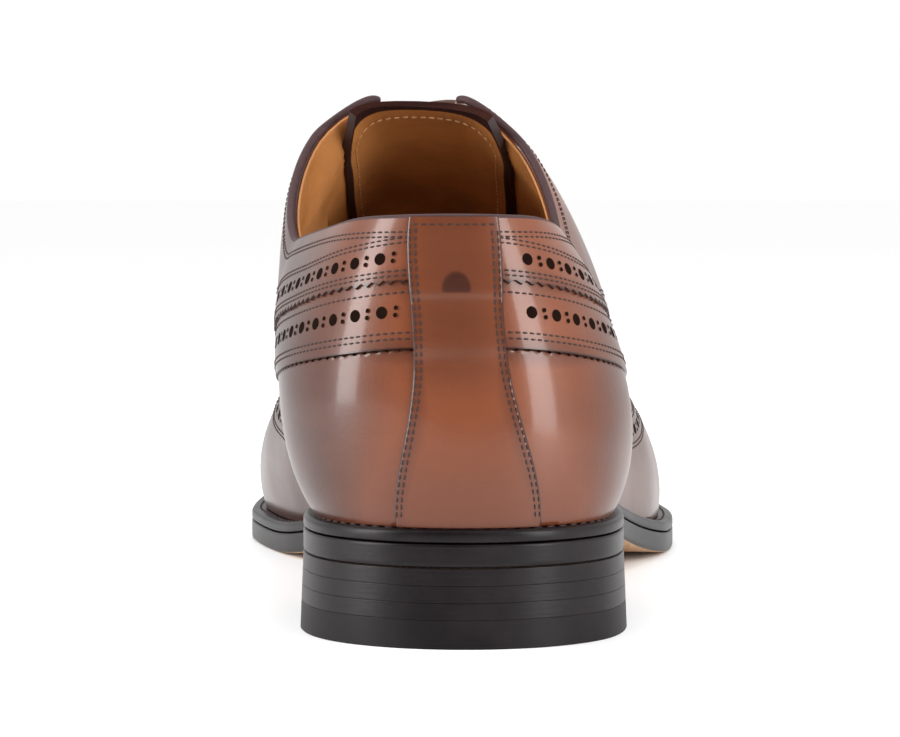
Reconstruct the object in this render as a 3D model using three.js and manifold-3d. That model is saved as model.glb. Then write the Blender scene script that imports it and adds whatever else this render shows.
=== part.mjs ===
// Right derby shoe with full brogue pattern, standing empty on its sole.
// Millimetres. +Y runs from heel to toe, +X to the outer side of the foot, +Z up.
// The origin lies on the floor under the middle of the heel.

import * as THREE from "three";
import { mergeVertices } from "three/addons/utils/BufferGeometryUtils.js";
import Module from "manifold-3d";

const wasm = await Module();
wasm.setup();

// Driving sizes of the last and the bottom
const SOLE_LENGTH = 304;
const BALL_WIDTH = 106;
const HEEL_WIDTH = 68;
const BACK_HEIGHT = 63;
const INSTEP_HEIGHT = 92;
const HEEL_HEIGHT = 16.5;
const TOE_SPRING = 11.5;

// Thicknesses
const SOLE_THICKNESS = 5;
const WELT_THICKNESS = 2.6;
const INSOLE_THICKNESS = 3;
const TOP_PIECE_THICKNESS = 6;
const HEEL_LIFTS = 3;
const LINED_WALL = 1.2;
const LAYER = 0.6;
const STRIP_LAYER = 0.5;
const TONGUE_THICKNESS = 2;

// Margins and clearances
const FOREPART_MARGIN = 4.4;
const SEAT_MARGIN = 2.8;
const SEAT_GAP = 0.3;
const SIDE_GAP = 0.6;
const EDGE_BEVEL = 0.8;
const WELT_UNDERLAP = 9;
const HEEL_FLARE = 0.7;

// Lacing
const EYELET_PAIRS = 5;
const EYELET_RADIUS = 2;
const EYELET_MARGIN = 9;
const EYELET_POINTS_ROUND = 8;
const EYELET_PUNCH_LENGTH = 12;
const LACE_RADIUS = 1.1;
const LACE_LIFT = 0.5;
const TONGUE_REACH = 10;
const TONGUE_SIDE_REACH = 3.5;
const LACE_POINTS_ROUND = 6;
const LACE_STEPS = 6;

// Places along the bottom, as shares of the sole's length
const HEEL_CENTRE_AT = 0.1118;
const BREAST_AT = 0.262;
const TREAD_START_AT = 0.625;
const TREAD_END_AT = 0.707;

// The ribs of the last, from the middle of the heel back to the tip of the toe.
// at, top_at: shares of the sole's length, at the sole's edge and at the rib's upper end.
// lateral, medial: the sole's half widths. mid, half: middle and half width of the opening above.
// belly and shoulder: how far the rib's lower and upper handles stand out.
// These widths are shares of the local width, which passes from heel width to ball width.
// rise_lat, rise_med: height of the rib over its foot, as shares of the local height.
// belly_up and drop: heights of the two handles, as shares of the rise.
// turn: where the rib faces in plan, in degrees from straight back round to straight ahead.
const COLUMNS = [
  "at", "lateral", "medial", "turn", "top_at", "mid", "half", "rise_lat", "rise_med",
  "belly_lat", "belly_med", "belly_up", "shoulder_lat", "shoulder_med", "drop",
];
const RIBS = [
  [0, 0, 0, 0, 0.028, -0.044, 0, 1, 1, 0.051, 0.051, 0.35, 0.074, 0.074, 0.3],
  [0.0132, 0.235, 0.235, 28, 0.031, -0.044, 0.132, 0.997, 0.997, 0.06, 0.07, 0.35, 0.09, 0.09, 0.3],
  [0.0526, 0.42, 0.42, 62, 0.056, -0.051, 0.257, 0.984, 0.984, 0.09, 0.12, 0.3, 0.13, 0.12, 0.3],
  [0.1118, 0.5, 0.5, 86, 0.105, -0.059, 0.338, 0.943, 0.951, 0.13, 0.16, 0.27, 0.19, 0.165, 0.3],
  [0.1908, 0.5, 0.485, 90, 0.181, -0.096, 0.404, 0.879, 0.903, 0.16, 0.147, 0.28, 0.176, 0.132, 0.3],
  [0.2566, 0.479, 0.435, 90, 0.25, -0.114, 0.407, 0.844, 0.872, 0.143, 0.17, 0.3, 0.186, 0.057, 0.3],
  [0.3026, 0.46, 0.38, 90, 0.303, -0.115, 0.31, 0.897, 0.92, 0.121, 0.175, 0.3, 0.229, 0.135, 0.28],
  [0.3421, 0.446, 0.345, 90, 0.332, -0.108, 0.114, 0.975, 0.975, 0.089, 0.177, 0.32, 0.304, 0.253, 0.13],
  [0.4112, 0.44, 0.3, 90, 0.398, -0.085, 0.079, 0.899, 0.899, 0.056, 0.18, 0.4, 0.293, 0.248, 0.1],
  [0.4934, 0.467, 0.317, 90, 0.47, -0.06, 0.055, 0.832, 0.832, 0.04, 0.152, 0.42, 0.262, 0.222, 0.07],
  [0.5757, 0.519, 0.385, 90, 0.536, -0.043, 0, 0.755, 0.755, 0.04, 0.125, 0.45, 0.265, 0.227, 0.05],
  [0.6579, 0.553, 0.447, 90, 0.618, -0.028, 0, 0.639, 0.639, 0.046, 0.105, 0.45, 0.283, 0.245, 0.04],
  [0.7303, 0.549, 0.474, 91, 0.694, -0.014, 0, 0.535, 0.535, 0.043, 0.075, 0.5, 0.283, 0.255, 0.03],
  [0.8059, 0.5, 0.446, 97, 0.766, 0, 0, 0.432, 0.432, 0.033, 0.05, 0.55, 0.255, 0.236, 0.03],
  [0.875, 0.405, 0.385, 110, 0.826, 0.005, 0, 0.341, 0.341, 0.028, 0.028, 0.6, 0.208, 0.198, 0.03],
  [0.9342, 0.292, 0.284, 130, 0.872, 0.005, 0, 0.261, 0.261, 0.028, 0.028, 0.65, 0.17, 0.165, 0.02],
  [0.98, 0.166, 0.164, 153, 0.898, 0.005, 0, 0.205, 0.205, 0.028, 0.028, 0.65, 0.142, 0.142, 0.02],
  [1, 0, 0, 180, 0.908, 0.005, 0, 0.179, 0.179, 0.028, 0.028, 0.65, 0.132, 0.132, 0.02],
].map((row) => Object.fromEntries(COLUMNS.map((name, i) => [name, row[i]])));

// Upper edges of the foxing or wing, and lower edges of the quarter, as shares of each rib.
const WING_EDGE = [
  0.56, 0.56, 0.55, 0.53, 0.49, 0.42, 0.33, 0.26, 0.23, 0.25, 0.32, 0.45, 0.72, 1, 1, 1, 1, 1,
];
const QUARTER_EDGE = [
  0.78, 0.78, 0.76, 0.73, 0.69, 0.58, 0.44, 0.33, 0.3, 0.42, 1, 1, 1, 1, 1, 1, 1, 1,
];

// Rib numbers at which a form starts or ends
const TIP = RIBS.length - 1;
const STRIP_EDGE = 1;
const FACING_TOP = 7;
const BAND_END = 8;
const THROAT = 10;
const WING_PEAK = 13;

// How finely the forms are cut into facets
const STEPS_PER_RIB = 3;
const WING_ROWS = 5;
const BAND_ROWS = 2;
const QUARTER_ROWS = 4;
const LINING_ROWS = 8;
const ACROSS = 6;
const STEP_SLOPE = 0.004;
const COLUMN_PAIR = 0.05;
const PROBE = 0.05;
const SHARE_PROBE = 0.02;
const SHARE_STEP = 0.005;
const MERGE = 1e-4;

// Shares of the rib at which the tongue is sampled under each facing, and across the bridge
const TONGUE_WINGS = [0.75, 0.875, 1];
const TONGUE_BRIDGE = [0.4, 0.5, 0.6];

// Ribs of the lowest and the highest eyelets, and how far along a run the lace crosses the edges
const LOWEST_EYELET = THROAT - 0.6;
const HIGHEST_EYELET = FACING_TOP + 0.25;
const LACE_CROSSES_AT = [0.3, 0.7];

// Colours and roughness of the surfaces
const TAN = 0x8a4a26;
const DARK_EDGE = 0x2b2322;
const LINING_TAN = 0xb5763a;
const LACE_BROWN = 0x3a2018;
const POLISHED = 0.35;
const SATIN = 0.6;

const mix = THREE.MathUtils.lerp;
const ease = THREE.MathUtils.smoothstep;
const clamp = THREE.MathUtils.clamp;

// A table column between its rows, by a smooth curve. It is mirrored past both ends.
// Odd columns change sign there, so that widths pass through zero, and turns past a half circle.
function smoothColumn(valueAt, r, endsOdd, farValue = 0) {
  const low = Math.min(Math.floor(r), TIP - 1);
  const t = r - low;
  const value = (i) => {
    if (i < 0) return endsOdd ? -valueAt(-i) : valueAt(-i);
    if (i <= TIP) return valueAt(i);
    const mirrored = valueAt(2 * TIP - i);
    return endsOdd ? 2 * farValue - mirrored : mirrored;
  };
  const [a, b, c, d] = [value(low - 1), value(low), value(low + 1), value(low + 2)];
  const slopeB = (c - a) / 2;
  const slopeC = (d - b) / 2;
  const t2 = t * t;
  const t3 = t2 * t;
  const between = (2 * t3 - 3 * t2 + 1) * b + (3 * t2 - 2 * t3) * c;
  return between + (t3 - 2 * t2 + t) * slopeB + (t3 - t2) * slopeC;
}

const even = (name, r) => smoothColumn((i) => RIBS[i][name], r, false);
const odd = (name, r, farValue) => smoothColumn((i) => RIBS[i][name], r, true, farValue);
const wingEdge = (r) => clamp(smoothColumn((i) => WING_EDGE[i], r, false), 0, 1);
function quarterEdge(r) {
  if (r >= THROAT) return 1;
  return clamp(smoothColumn((i) => QUARTER_EDGE[i], r, false), 0, 1);
}

// Local width and height, by the share of the length
const localWidth = (at) => mix(HEEL_WIDTH, BALL_WIDTH, ease(at, 0.2, 0.6));
const localHeight = (at) => mix(BACK_HEIGHT, INSTEP_HEIGHT, ease(at, 0.2, 0.34));
const marginAt = (at) => mix(SEAT_MARGIN, FOREPART_MARGIN, ease(at, 0.25, 0.6));

// Height of the sole's underside over the floor: flat over the heel, arched, flat under the
// ball of the foot, and rising to the toe.
function underside(y) {
  const at = y / SOLE_LENGTH;
  if (at < BREAST_AT) return HEEL_HEIGHT;
  if (at < TREAD_START_AT) {
    const t = (at - BREAST_AT) / (TREAD_START_AT - BREAST_AT);
    return (HEEL_HEIGHT * (1 + Math.cos(Math.PI * t))) / 2;
  }
  if (at < TREAD_END_AT) return 0;
  return TOE_SPRING * ((at - TREAD_END_AT) / (1 - TREAD_END_AT)) ** 1.8;
}
const soleTop = (y) => underside(y) + SOLE_THICKNESS;
const weltBase = (y) => soleTop(y) + SEAT_GAP;
const weltTop = (y) => weltBase(y) + WELT_THICKNESS;
const seat = (y) => weltTop(y) + SEAT_GAP;

// A place round the shoe is a rib number with a sign: plus on the lateral side, minus on the
// medial side. It runs on past the toe and comes back on the other side.
function unwind(place) {
  let wrapped = place;
  if (place > TIP) wrapped = place - 2 * TIP;
  if (place <= -TIP) wrapped = place + 2 * TIP;
  return { r: Math.abs(wrapped), side: wrapped < 0 ? -1 : 1 };
}

function soleEdge(place) {
  const { r, side } = unwind(place);
  const at = even("at", r);
  const width = localWidth(at) * odd(side > 0 ? "lateral" : "medial", r);
  return new THREE.Vector2(side * width, at * SOLE_LENGTH);
}

// The sole's outline moved inwards
function footprint(place, inset) {
  const along = soleEdge(place + PROBE).sub(soleEdge(place - PROBE)).normalize();
  return soleEdge(place).sub(new THREE.Vector2(along.y, -along.x).multiplyScalar(inset));
}

// A point of the last's skin. v runs from 0 at the foot of the rib to 1 at its upper end.
// Where the vamp is closed, both sides end in the same points of the ridge.
function skin(place, v) {
  const { r, side } = unwind(place);
  if (v === 1 && r >= THROAT && side < 0) return skin(r, v);
  const lateral = side > 0;
  const at = even("at", r);
  const width = localWidth(at);
  const foot = footprint(place, marginAt(at));
  const start = new THREE.Vector3(foot.x, foot.y, seat(foot.y));
  const rise = localHeight(at) * even(lateral ? "rise_lat" : "rise_med", r);
  const half = r >= THROAT ? 0 : Math.max(0, odd("half", r));
  const end = new THREE.Vector3(
    width * (even("mid", r) + side * half),
    SOLE_LENGTH * even("top_at", r),
    seat(at * SOLE_LENGTH) + rise,
  );
  const turn = THREE.MathUtils.degToRad(odd("turn", r, 180));
  const outward = new THREE.Vector3(side * Math.sin(turn), -Math.cos(turn), 0);
  const bellyOut = width * even(lateral ? "belly_lat" : "belly_med", r);
  const shoulderOut = width * even(lateral ? "shoulder_lat" : "shoulder_med", r);
  const belly = start.clone().addScaledVector(outward, bellyOut);
  belly.z += rise * even("belly_up", r);
  const shoulder = end.clone().addScaledVector(outward, shoulderOut);
  shoulder.z -= rise * even("drop", r);
  return new THREE.CubicBezierCurve3(start, belly, shoulder, end).getPoint(v);
}

// The direction out of the skin. It is level at the foot, and square to the ridge along the
// closed vamp, so that both sides agree there.
function outOfSkin(place, v) {
  const { r } = unwind(place);
  if (v === 1 && r >= THROAT) {
    const along = skin(r, 1).sub(skin(r - 0.5, 1));
    return new THREE.Vector3(0, -along.z, along.y).normalize();
  }
  const round = skin(place + PROBE, v).sub(skin(place - PROBE, v));
  const higher = skin(place, Math.min(1, v + SHARE_PROBE));
  const up = higher.sub(skin(place, Math.max(0, v - SHARE_PROBE)));
  const out = round.cross(up);
  if (v === 0) out.z = 0;
  return out.normalize();
}

function offSkin(place, v, distance) {
  return skin(place, v).addScaledVector(outOfSkin(place, v), distance);
}

// Thickness of the leather that lies over the lined wall, for each zone of a rib:
// the bare vamp has none, and the foxing, the brogued band and the quarter lap over each other.
function leatherOver(zone, r) {
  const band = r < BAND_END ? 2 : r < WING_PEAK ? 0 : 1;
  const layers = { wing: 1, band, quarter: r < THROAT ? 3 : band }[zone];
  return layers * LAYER + (r < STRIP_EDGE ? STRIP_LAYER : 0);
}

// The rows of a rib, from foot to top, with the two sides of each step close together
function rowsOf(r) {
  const wing = wingEdge(r);
  const quarter = Math.max(wing, quarterEdge(r));
  const rows = [];
  const addZone = (zone, from, to, count) => {
    for (let k = 0; k <= count; k++) {
      rows.push({ zone, v: clamp(mix(from, to, k / count), 0, 1) });
    }
  };
  const below = (edge) => (edge < 1 ? edge - STEP_SLOPE : 1);
  const above = (edge) => Math.min(1, edge + STEP_SLOPE);
  addZone("wing", 0, below(wing), WING_ROWS);
  addZone("band", above(wing), below(quarter), BAND_ROWS);
  addZone("quarter", above(quarter), 1, QUARTER_ROWS);
  return rows;
}

// Rib numbers at which the forms are sampled. Each edge that runs up the shoe has a close pair.
function ribStations() {
  const stations = new Set();
  for (let k = 0; k <= TIP * STEPS_PER_RIB; k++) stations.add(k / STEPS_PER_RIB);
  for (const edge of [STRIP_EDGE, BAND_END, THROAT, WING_PEAK]) stations.add(edge - COLUMN_PAIR);
  return [...stations].sort((a, b) => a - b);
}
const STATIONS = ribStations();
const ROUND = [...STATIONS.slice(1).reverse().map((r) => -r), ...STATIONS.slice(0, -1)];

// A list of triangles, kept as corners until it is closed
class Surface {
  constructor() {
    this.corners = [];
  }
  triangle(a, b, c) {
    this.corners.push(...a.toArray(), ...b.toArray(), ...c.toArray());
  }
  quad(a, b, c, d) {
    this.triangle(a, b, c);
    this.triangle(a, c, d);
  }
  // Joins the corners, drops flat triangles and turns the faces outwards
  solid() {
    const loose = new THREE.BufferGeometry();
    loose.setAttribute("position", new THREE.Float32BufferAttribute(this.corners, 3));
    const merged = mergeVertices(loose, MERGE);
    const kept = [];
    const index = merged.index.array;
    for (let i = 0; i < index.length; i += 3) {
      const [a, b, c] = [index[i], index[i + 1], index[i + 2]];
      if (a !== b && b !== c && c !== a) kept.push(a, b, c);
    }
    const made = toManifold(merged, kept);
    if (made.volume() > 0) return made;
    const turned = kept.map((_, i) => kept[i - (i % 3) + 2 - (i % 3)]);
    return toManifold(merged, turned);
  }
}

function toManifold(geometry, triangles) {
  return new wasm.Manifold(
    new wasm.Mesh({
      numProp: 3,
      vertProperties: new Float32Array(geometry.getAttribute("position").array),
      triVerts: new Uint32Array(triangles),
    }),
  );
}

// A three.js shape as a solid for joining and cutting
function solidOfGeometry(geometry) {
  geometry.deleteAttribute("normal");
  geometry.deleteAttribute("uv");
  const merged = mergeVertices(geometry, MERGE);
  return toManifold(merged, Array.from(merged.index.array));
}

function meshOf(name, solid, colour, roughness) {
  const made = solid.getMesh();
  const geometry = new THREE.BufferGeometry();
  geometry.setAttribute("position", new THREE.Float32BufferAttribute(made.vertProperties, 3));
  geometry.setIndex(Array.from(made.triVerts));
  geometry.computeVertexNormals();
  const material = new THREE.MeshStandardMaterial({ color: colour, roughness, metalness: 0 });
  const mesh = new THREE.Mesh(geometry, material);
  mesh.name = name;
  return mesh;
}

// A plate of the sole's outline. Each layer is a level with its inset and its height by length.
function plate(layers, stations, strips = ACROSS) {
  const last = stations.length - 1;
  const point = (layer, i, j) => {
    const medial = footprint(-stations[i], layer.inset);
    const lateral = footprint(stations[i], layer.inset);
    const across = medial.lerp(lateral, j / strips);
    return new THREE.Vector3(across.x, across.y, layer.height(across.y));
  };
  const surface = new Surface();
  const face = (layer, upward) => {
    for (let i = 0; i < last; i++) {
      for (let j = 0; j < strips; j++) {
        const corners = [
          point(layer, i, j),
          point(layer, i + 1, j),
          point(layer, i + 1, j + 1),
          point(layer, i, j + 1),
        ];
        if (upward) corners.reverse();
        surface.quad(...corners);
      }
    }
  };
  face(layers[0], false);
  face(layers[layers.length - 1], true);
  for (let k = 0; k + 1 < layers.length; k++) {
    const [low, high] = [layers[k], layers[k + 1]];
    const wall = (i, j, nextI, nextJ) => {
      const [a, b] = [point(low, i, j), point(low, nextI, nextJ)];
      surface.quad(a, b, point(high, nextI, nextJ), point(high, i, j));
    };
    for (let i = 0; i < last; i++) {
      wall(i, strips, i + 1, strips);
      wall(i + 1, 0, i, 0);
    }
    for (let j = 0; j < strips; j++) wall(last, j + 1, last, j);
  }
  return surface.solid();
}

function makeOutsole() {
  return plate(
    [
      { inset: EDGE_BEVEL, height: underside },
      { inset: 0, height: (y) => underside(y) + EDGE_BEVEL },
      { inset: 0, height: soleTop },
    ],
    STATIONS,
  );
}

// The welt is a flat strip all round, under the edge of the upper and of the insole
function makeWelt() {
  const rings = [
    { inset: 0, height: weltBase },
    { inset: 0, height: (y) => weltTop(y) - EDGE_BEVEL },
    { inset: EDGE_BEVEL, height: weltTop },
    { inset: WELT_UNDERLAP, height: weltTop },
    { inset: WELT_UNDERLAP, height: weltBase },
  ];
  const point = (ring, place) => {
    const flat = footprint(place, ring.inset);
    return new THREE.Vector3(flat.x, flat.y, ring.height(flat.y));
  };
  const surface = new Surface();
  ROUND.forEach((place, i) => {
    const next = ROUND[(i + 1) % ROUND.length];
    rings.forEach((ring, k) => {
      const above = rings[(k + 1) % rings.length];
      const [a, b] = [point(ring, place), point(ring, next)];
      surface.quad(a, b, point(above, next), point(above, place));
    });
  });
  return surface.solid();
}

// The insole lies on the welt, inside the wall of the upper
function makeInsole() {
  const inset = FOREPART_MARGIN + LINED_WALL + SIDE_GAP;
  return plate(
    [
      { inset, height: seat },
      { inset, height: (y) => seat(y) + INSOLE_THICKNESS },
    ],
    STATIONS,
  );
}

// One layer of the heel, from one height to another, flaring a little towards the floor
function makeHeelLayer(low, high) {
  const stations = STATIONS.filter((r) => even("at", r) <= BREAST_AT);
  const flare = (z) => -HEEL_FLARE * (1 - z / HEEL_HEIGHT);
  return plate(
    [
      { inset: flare(low), height: () => low },
      { inset: flare(high), height: () => high },
    ],
    stations,
    1,
  );
}

// The upper is one lined shell, open at the collar, down the throat and underneath
function makeUpper() {
  const outer = new Map();
  const inner = new Map();
  for (const place of [...ROUND, TIP]) {
    const r = Math.abs(place);
    outer.set(place, rowsOf(r).map(({ zone, v }) => offSkin(place, v, leatherOver(zone, r))));
    const lining = [];
    for (let k = 0; k <= LINING_ROWS; k++) {
      lining.push(offSkin(place, k / LINING_ROWS, -LINED_WALL));
    }
    inner.set(place, lining);
  }
  const surface = new Surface();
  ROUND.forEach((place, i) => {
    const next = ROUND[i + 1] ?? TIP;
    const [outA, outB] = [outer.get(place), outer.get(next)];
    const [inA, inB] = [inner.get(place), inner.get(next)];
    for (let k = 0; k + 1 < outA.length; k++) {
      surface.quad(outA[k], outB[k], outB[k + 1], outA[k + 1]);
    }
    for (let k = 0; k + 1 < inA.length; k++) {
      surface.quad(inB[k], inA[k], inA[k + 1], inB[k + 1]);
    }
    surface.quad(inA[0], inB[0], outB[0], outA[0]);
    const open = Math.max(Math.abs(place), Math.abs(next)) <= THROAT;
    if (open) surface.quad(outA.at(-1), outB.at(-1), inB.at(-1), inA.at(-1));
  });
  let shell = surface.solid();
  for (const place of eyeletPlaces().flat()) shell = shell.subtract(eyeletPunch(place));
  return shell;
}

// The eyelets stand in pairs along the facings, at an even margin from the edge
function eyeletPlaces() {
  const pairs = [];
  for (let k = 0; k < EYELET_PAIRS; k++) {
    const r = mix(LOWEST_EYELET, HIGHEST_EYELET, k / (EYELET_PAIRS - 1));
    pairs.push([r, -r]);
  }
  return pairs;
}

// How far down a rib lies a given distance from the facing's edge
function belowEdge(place, distance) {
  let v = 1;
  let walked = 0;
  while (walked < distance && v > 0.5) {
    walked += skin(place, v).distanceTo(skin(place, v - SHARE_STEP));
    v -= SHARE_STEP;
  }
  return v;
}

function eyeletPunch(place) {
  const v = belowEdge(place, EYELET_MARGIN);
  const geometry = new THREE.CylinderGeometry(
    EYELET_RADIUS,
    EYELET_RADIUS,
    EYELET_PUNCH_LENGTH,
    EYELET_POINTS_ROUND,
  );
  const ownAxis = new THREE.Vector3(0, 1, 0);
  const turn = new THREE.Quaternion().setFromUnitVectors(ownAxis, outOfSkin(place, v));
  geometry.applyQuaternion(turn);
  geometry.translate(...skin(place, v).toArray());
  return solidOfGeometry(geometry);
}

// The tongue lies under the facings and bridges the gap between them. Its facets run beside
// those of the lining, and its upper end reaches out.
function makeTongue() {
  const sectionAt = (r, depth) => {
    const medial = TONGUE_WINGS.map((v) => offSkin(-r, v, -depth));
    const lateral = TONGUE_WINGS.map((v) => offSkin(r, v, -depth)).reverse();
    const knots = [medial[1], medial[2], lateral[0], lateral[1]];
    const bridge = new THREE.CatmullRomCurve3(knots, false, "catmullrom");
    const between = TONGUE_BRIDGE.map((t) => bridge.getPoint(t));
    return [...medial, ...between, ...lateral];
  };
  const places = STATIONS.filter((r) => r >= FACING_TOP && r < THROAT).reverse();
  const rowsAt = (depth) => {
    const rows = places.map((r) => sectionAt(r, depth));
    const [before, last] = rows.slice(-2);
    const reached = last.map((p, j) => {
      const crown = Math.sin((Math.PI * j) / (last.length - 1));
      const reach = mix(TONGUE_SIDE_REACH, TONGUE_REACH, crown);
      return p.clone().addScaledVector(p.clone().sub(before[j]).normalize(), reach);
    });
    return [...rows, reached];
  };
  const depth = LINED_WALL + SIDE_GAP;
  const [front, back] = [rowsAt(depth), rowsAt(depth + TONGUE_THICKNESS)];
  const surface = new Surface();
  const end = front.length - 1;
  const edge = front[0].length - 1;
  for (let i = 0; i < end; i++) {
    for (let j = 0; j < edge; j++) {
      surface.quad(front[i][j], front[i][j + 1], front[i + 1][j + 1], front[i + 1][j]);
      surface.quad(back[i][j + 1], back[i][j], back[i + 1][j], back[i + 1][j + 1]);
    }
    surface.quad(back[i][0], front[i][0], front[i + 1][0], back[i + 1][0]);
    surface.quad(front[i][edge], back[i][edge], back[i + 1][edge], front[i + 1][edge]);
  }
  for (let j = 0; j < edge; j++) {
    surface.quad(back[0][j], back[0][j + 1], front[0][j + 1], front[0][j]);
    surface.quad(front[end][j], front[end][j + 1], back[end][j + 1], back[end][j]);
  }
  return surface.solid();
}

// The lace crosses between the facings, from each eyelet to the next one on the other side
function makeLaces() {
  const above = leatherOver("quarter", FACING_TOP) + LACE_RADIUS + LACE_LIFT;
  const run = (from, to) => {
    const edges = LACE_CROSSES_AT.map((t) => mix(Math.abs(from), Math.abs(to), t));
    const path = new THREE.CatmullRomCurve3([
      offSkin(from, belowEdge(from, EYELET_MARGIN), above),
      offSkin(Math.sign(from) * edges[0], 1, above),
      offSkin(Math.sign(to) * edges[1], 1, above),
      offSkin(to, belowEdge(to, EYELET_MARGIN), above),
    ]);
    const circle = new THREE.EllipseCurve(0, 0, LACE_RADIUS, LACE_RADIUS);
    const section = new THREE.Shape(circle.getPoints(LACE_POINTS_ROUND));
    const options = { extrudePath: path, steps: LACE_STEPS, bevelEnabled: false };
    return solidOfGeometry(new THREE.ExtrudeGeometry(section, options));
  };
  const pairs = eyeletPlaces();
  let laces = run(pairs[0][0], pairs[0][1]);
  for (let k = 0; k + 1 < pairs.length; k++) {
    laces = laces.add(run(pairs[k][0], pairs[k + 1][1]));
    laces = laces.add(run(pairs[k][1], pairs[k + 1][0]));
  }
  return laces;
}

const shoe = new THREE.Group();
shoe.add(meshOf("outsole", makeOutsole(), DARK_EDGE, POLISHED));
shoe.add(meshOf("welt", makeWelt(), DARK_EDGE, POLISHED));
shoe.add(meshOf("heel_top_piece", makeHeelLayer(0, TOP_PIECE_THICKNESS), DARK_EDGE, SATIN));
for (let k = 0; k < HEEL_LIFTS; k++) {
  const low = mix(TOP_PIECE_THICKNESS, HEEL_HEIGHT, k / HEEL_LIFTS);
  const high = mix(TOP_PIECE_THICKNESS, HEEL_HEIGHT, (k + 1) / HEEL_LIFTS);
  shoe.add(meshOf(`heel_lift_${k + 1}`, makeHeelLayer(low, high), DARK_EDGE, POLISHED));
}
shoe.add(meshOf("insole", makeInsole(), LINING_TAN, SATIN));
shoe.add(meshOf("upper", makeUpper(), TAN, POLISHED));
shoe.add(meshOf("tongue", makeTongue(), TAN, POLISHED));
shoe.add(meshOf("laces", makeLaces(), LACE_BROWN, SATIN));

shoe.position.y = -HEEL_CENTRE_AT * SOLE_LENGTH;

export default shoe;
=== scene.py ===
"""Right derby shoe with full brogue pattern, standing empty on its sole: the looks of each piece.

Lengths are in metres. +Y runs from heel to toe, +X to the outer side of the foot, +Z up.
"""

import math

import bmesh
import bpy
import numpy as np
from bpy.props import FloatProperty, FloatVectorProperty, PointerProperty
from mathutils import Matrix, Vector


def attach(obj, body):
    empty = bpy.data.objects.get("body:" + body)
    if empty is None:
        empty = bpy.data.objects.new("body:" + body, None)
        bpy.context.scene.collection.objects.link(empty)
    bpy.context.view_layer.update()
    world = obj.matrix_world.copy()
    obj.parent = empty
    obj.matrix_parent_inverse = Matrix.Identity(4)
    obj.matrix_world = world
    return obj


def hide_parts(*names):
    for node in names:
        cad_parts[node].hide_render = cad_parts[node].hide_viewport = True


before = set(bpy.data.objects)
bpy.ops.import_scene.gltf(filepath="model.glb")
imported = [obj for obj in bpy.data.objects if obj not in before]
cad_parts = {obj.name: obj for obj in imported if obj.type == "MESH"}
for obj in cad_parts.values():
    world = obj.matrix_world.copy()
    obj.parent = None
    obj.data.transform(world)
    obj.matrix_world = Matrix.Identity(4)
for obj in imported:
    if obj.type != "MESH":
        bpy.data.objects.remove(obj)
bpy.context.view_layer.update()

bl_info = {
    "name": "Brogue Derby Shoe",
    "version": (1, 0, 0),
    "blender": (4, 5, 0),
    "location": "3D View > Sidebar > Shoe",
    "description": "Builds the leather, soles, stitching and lighting of a right derby shoe",
    "category": "Object",
}

MM = 0.001

# Thicknesses of the pieces, the number of the heel's lifts, and the gap between pieces
SOLE_THICKNESS = 5 * MM
WELT_THICKNESS = 2.6 * MM
INSOLE_THICKNESS = 3 * MM
TOP_PIECE_THICKNESS = 6 * MM
HEEL_LIFTS = 3
STRIP_THICKNESS = 0.5 * MM
LINED_WALL = 1.2 * MM
GAP = 0.3 * MM

# Inner face of the vamp and the quarters, and of the pieces laid on them, off the lined wall
UNDER_LAYER = -0.4 * MM
ON_LAYER = 0.02 * MM

# How far the upper's foot stands in from the sole's edge, at the seat and at the tread
SEAT_MARGIN = 2.8 * MM
TREAD_MARGIN = 4.4 * MM

# How far apart the vertices of broad and of fine pieces stand
BROAD_PITCH = 1.4 * MM
FINE_PITCH = 0.6 * MM

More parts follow.
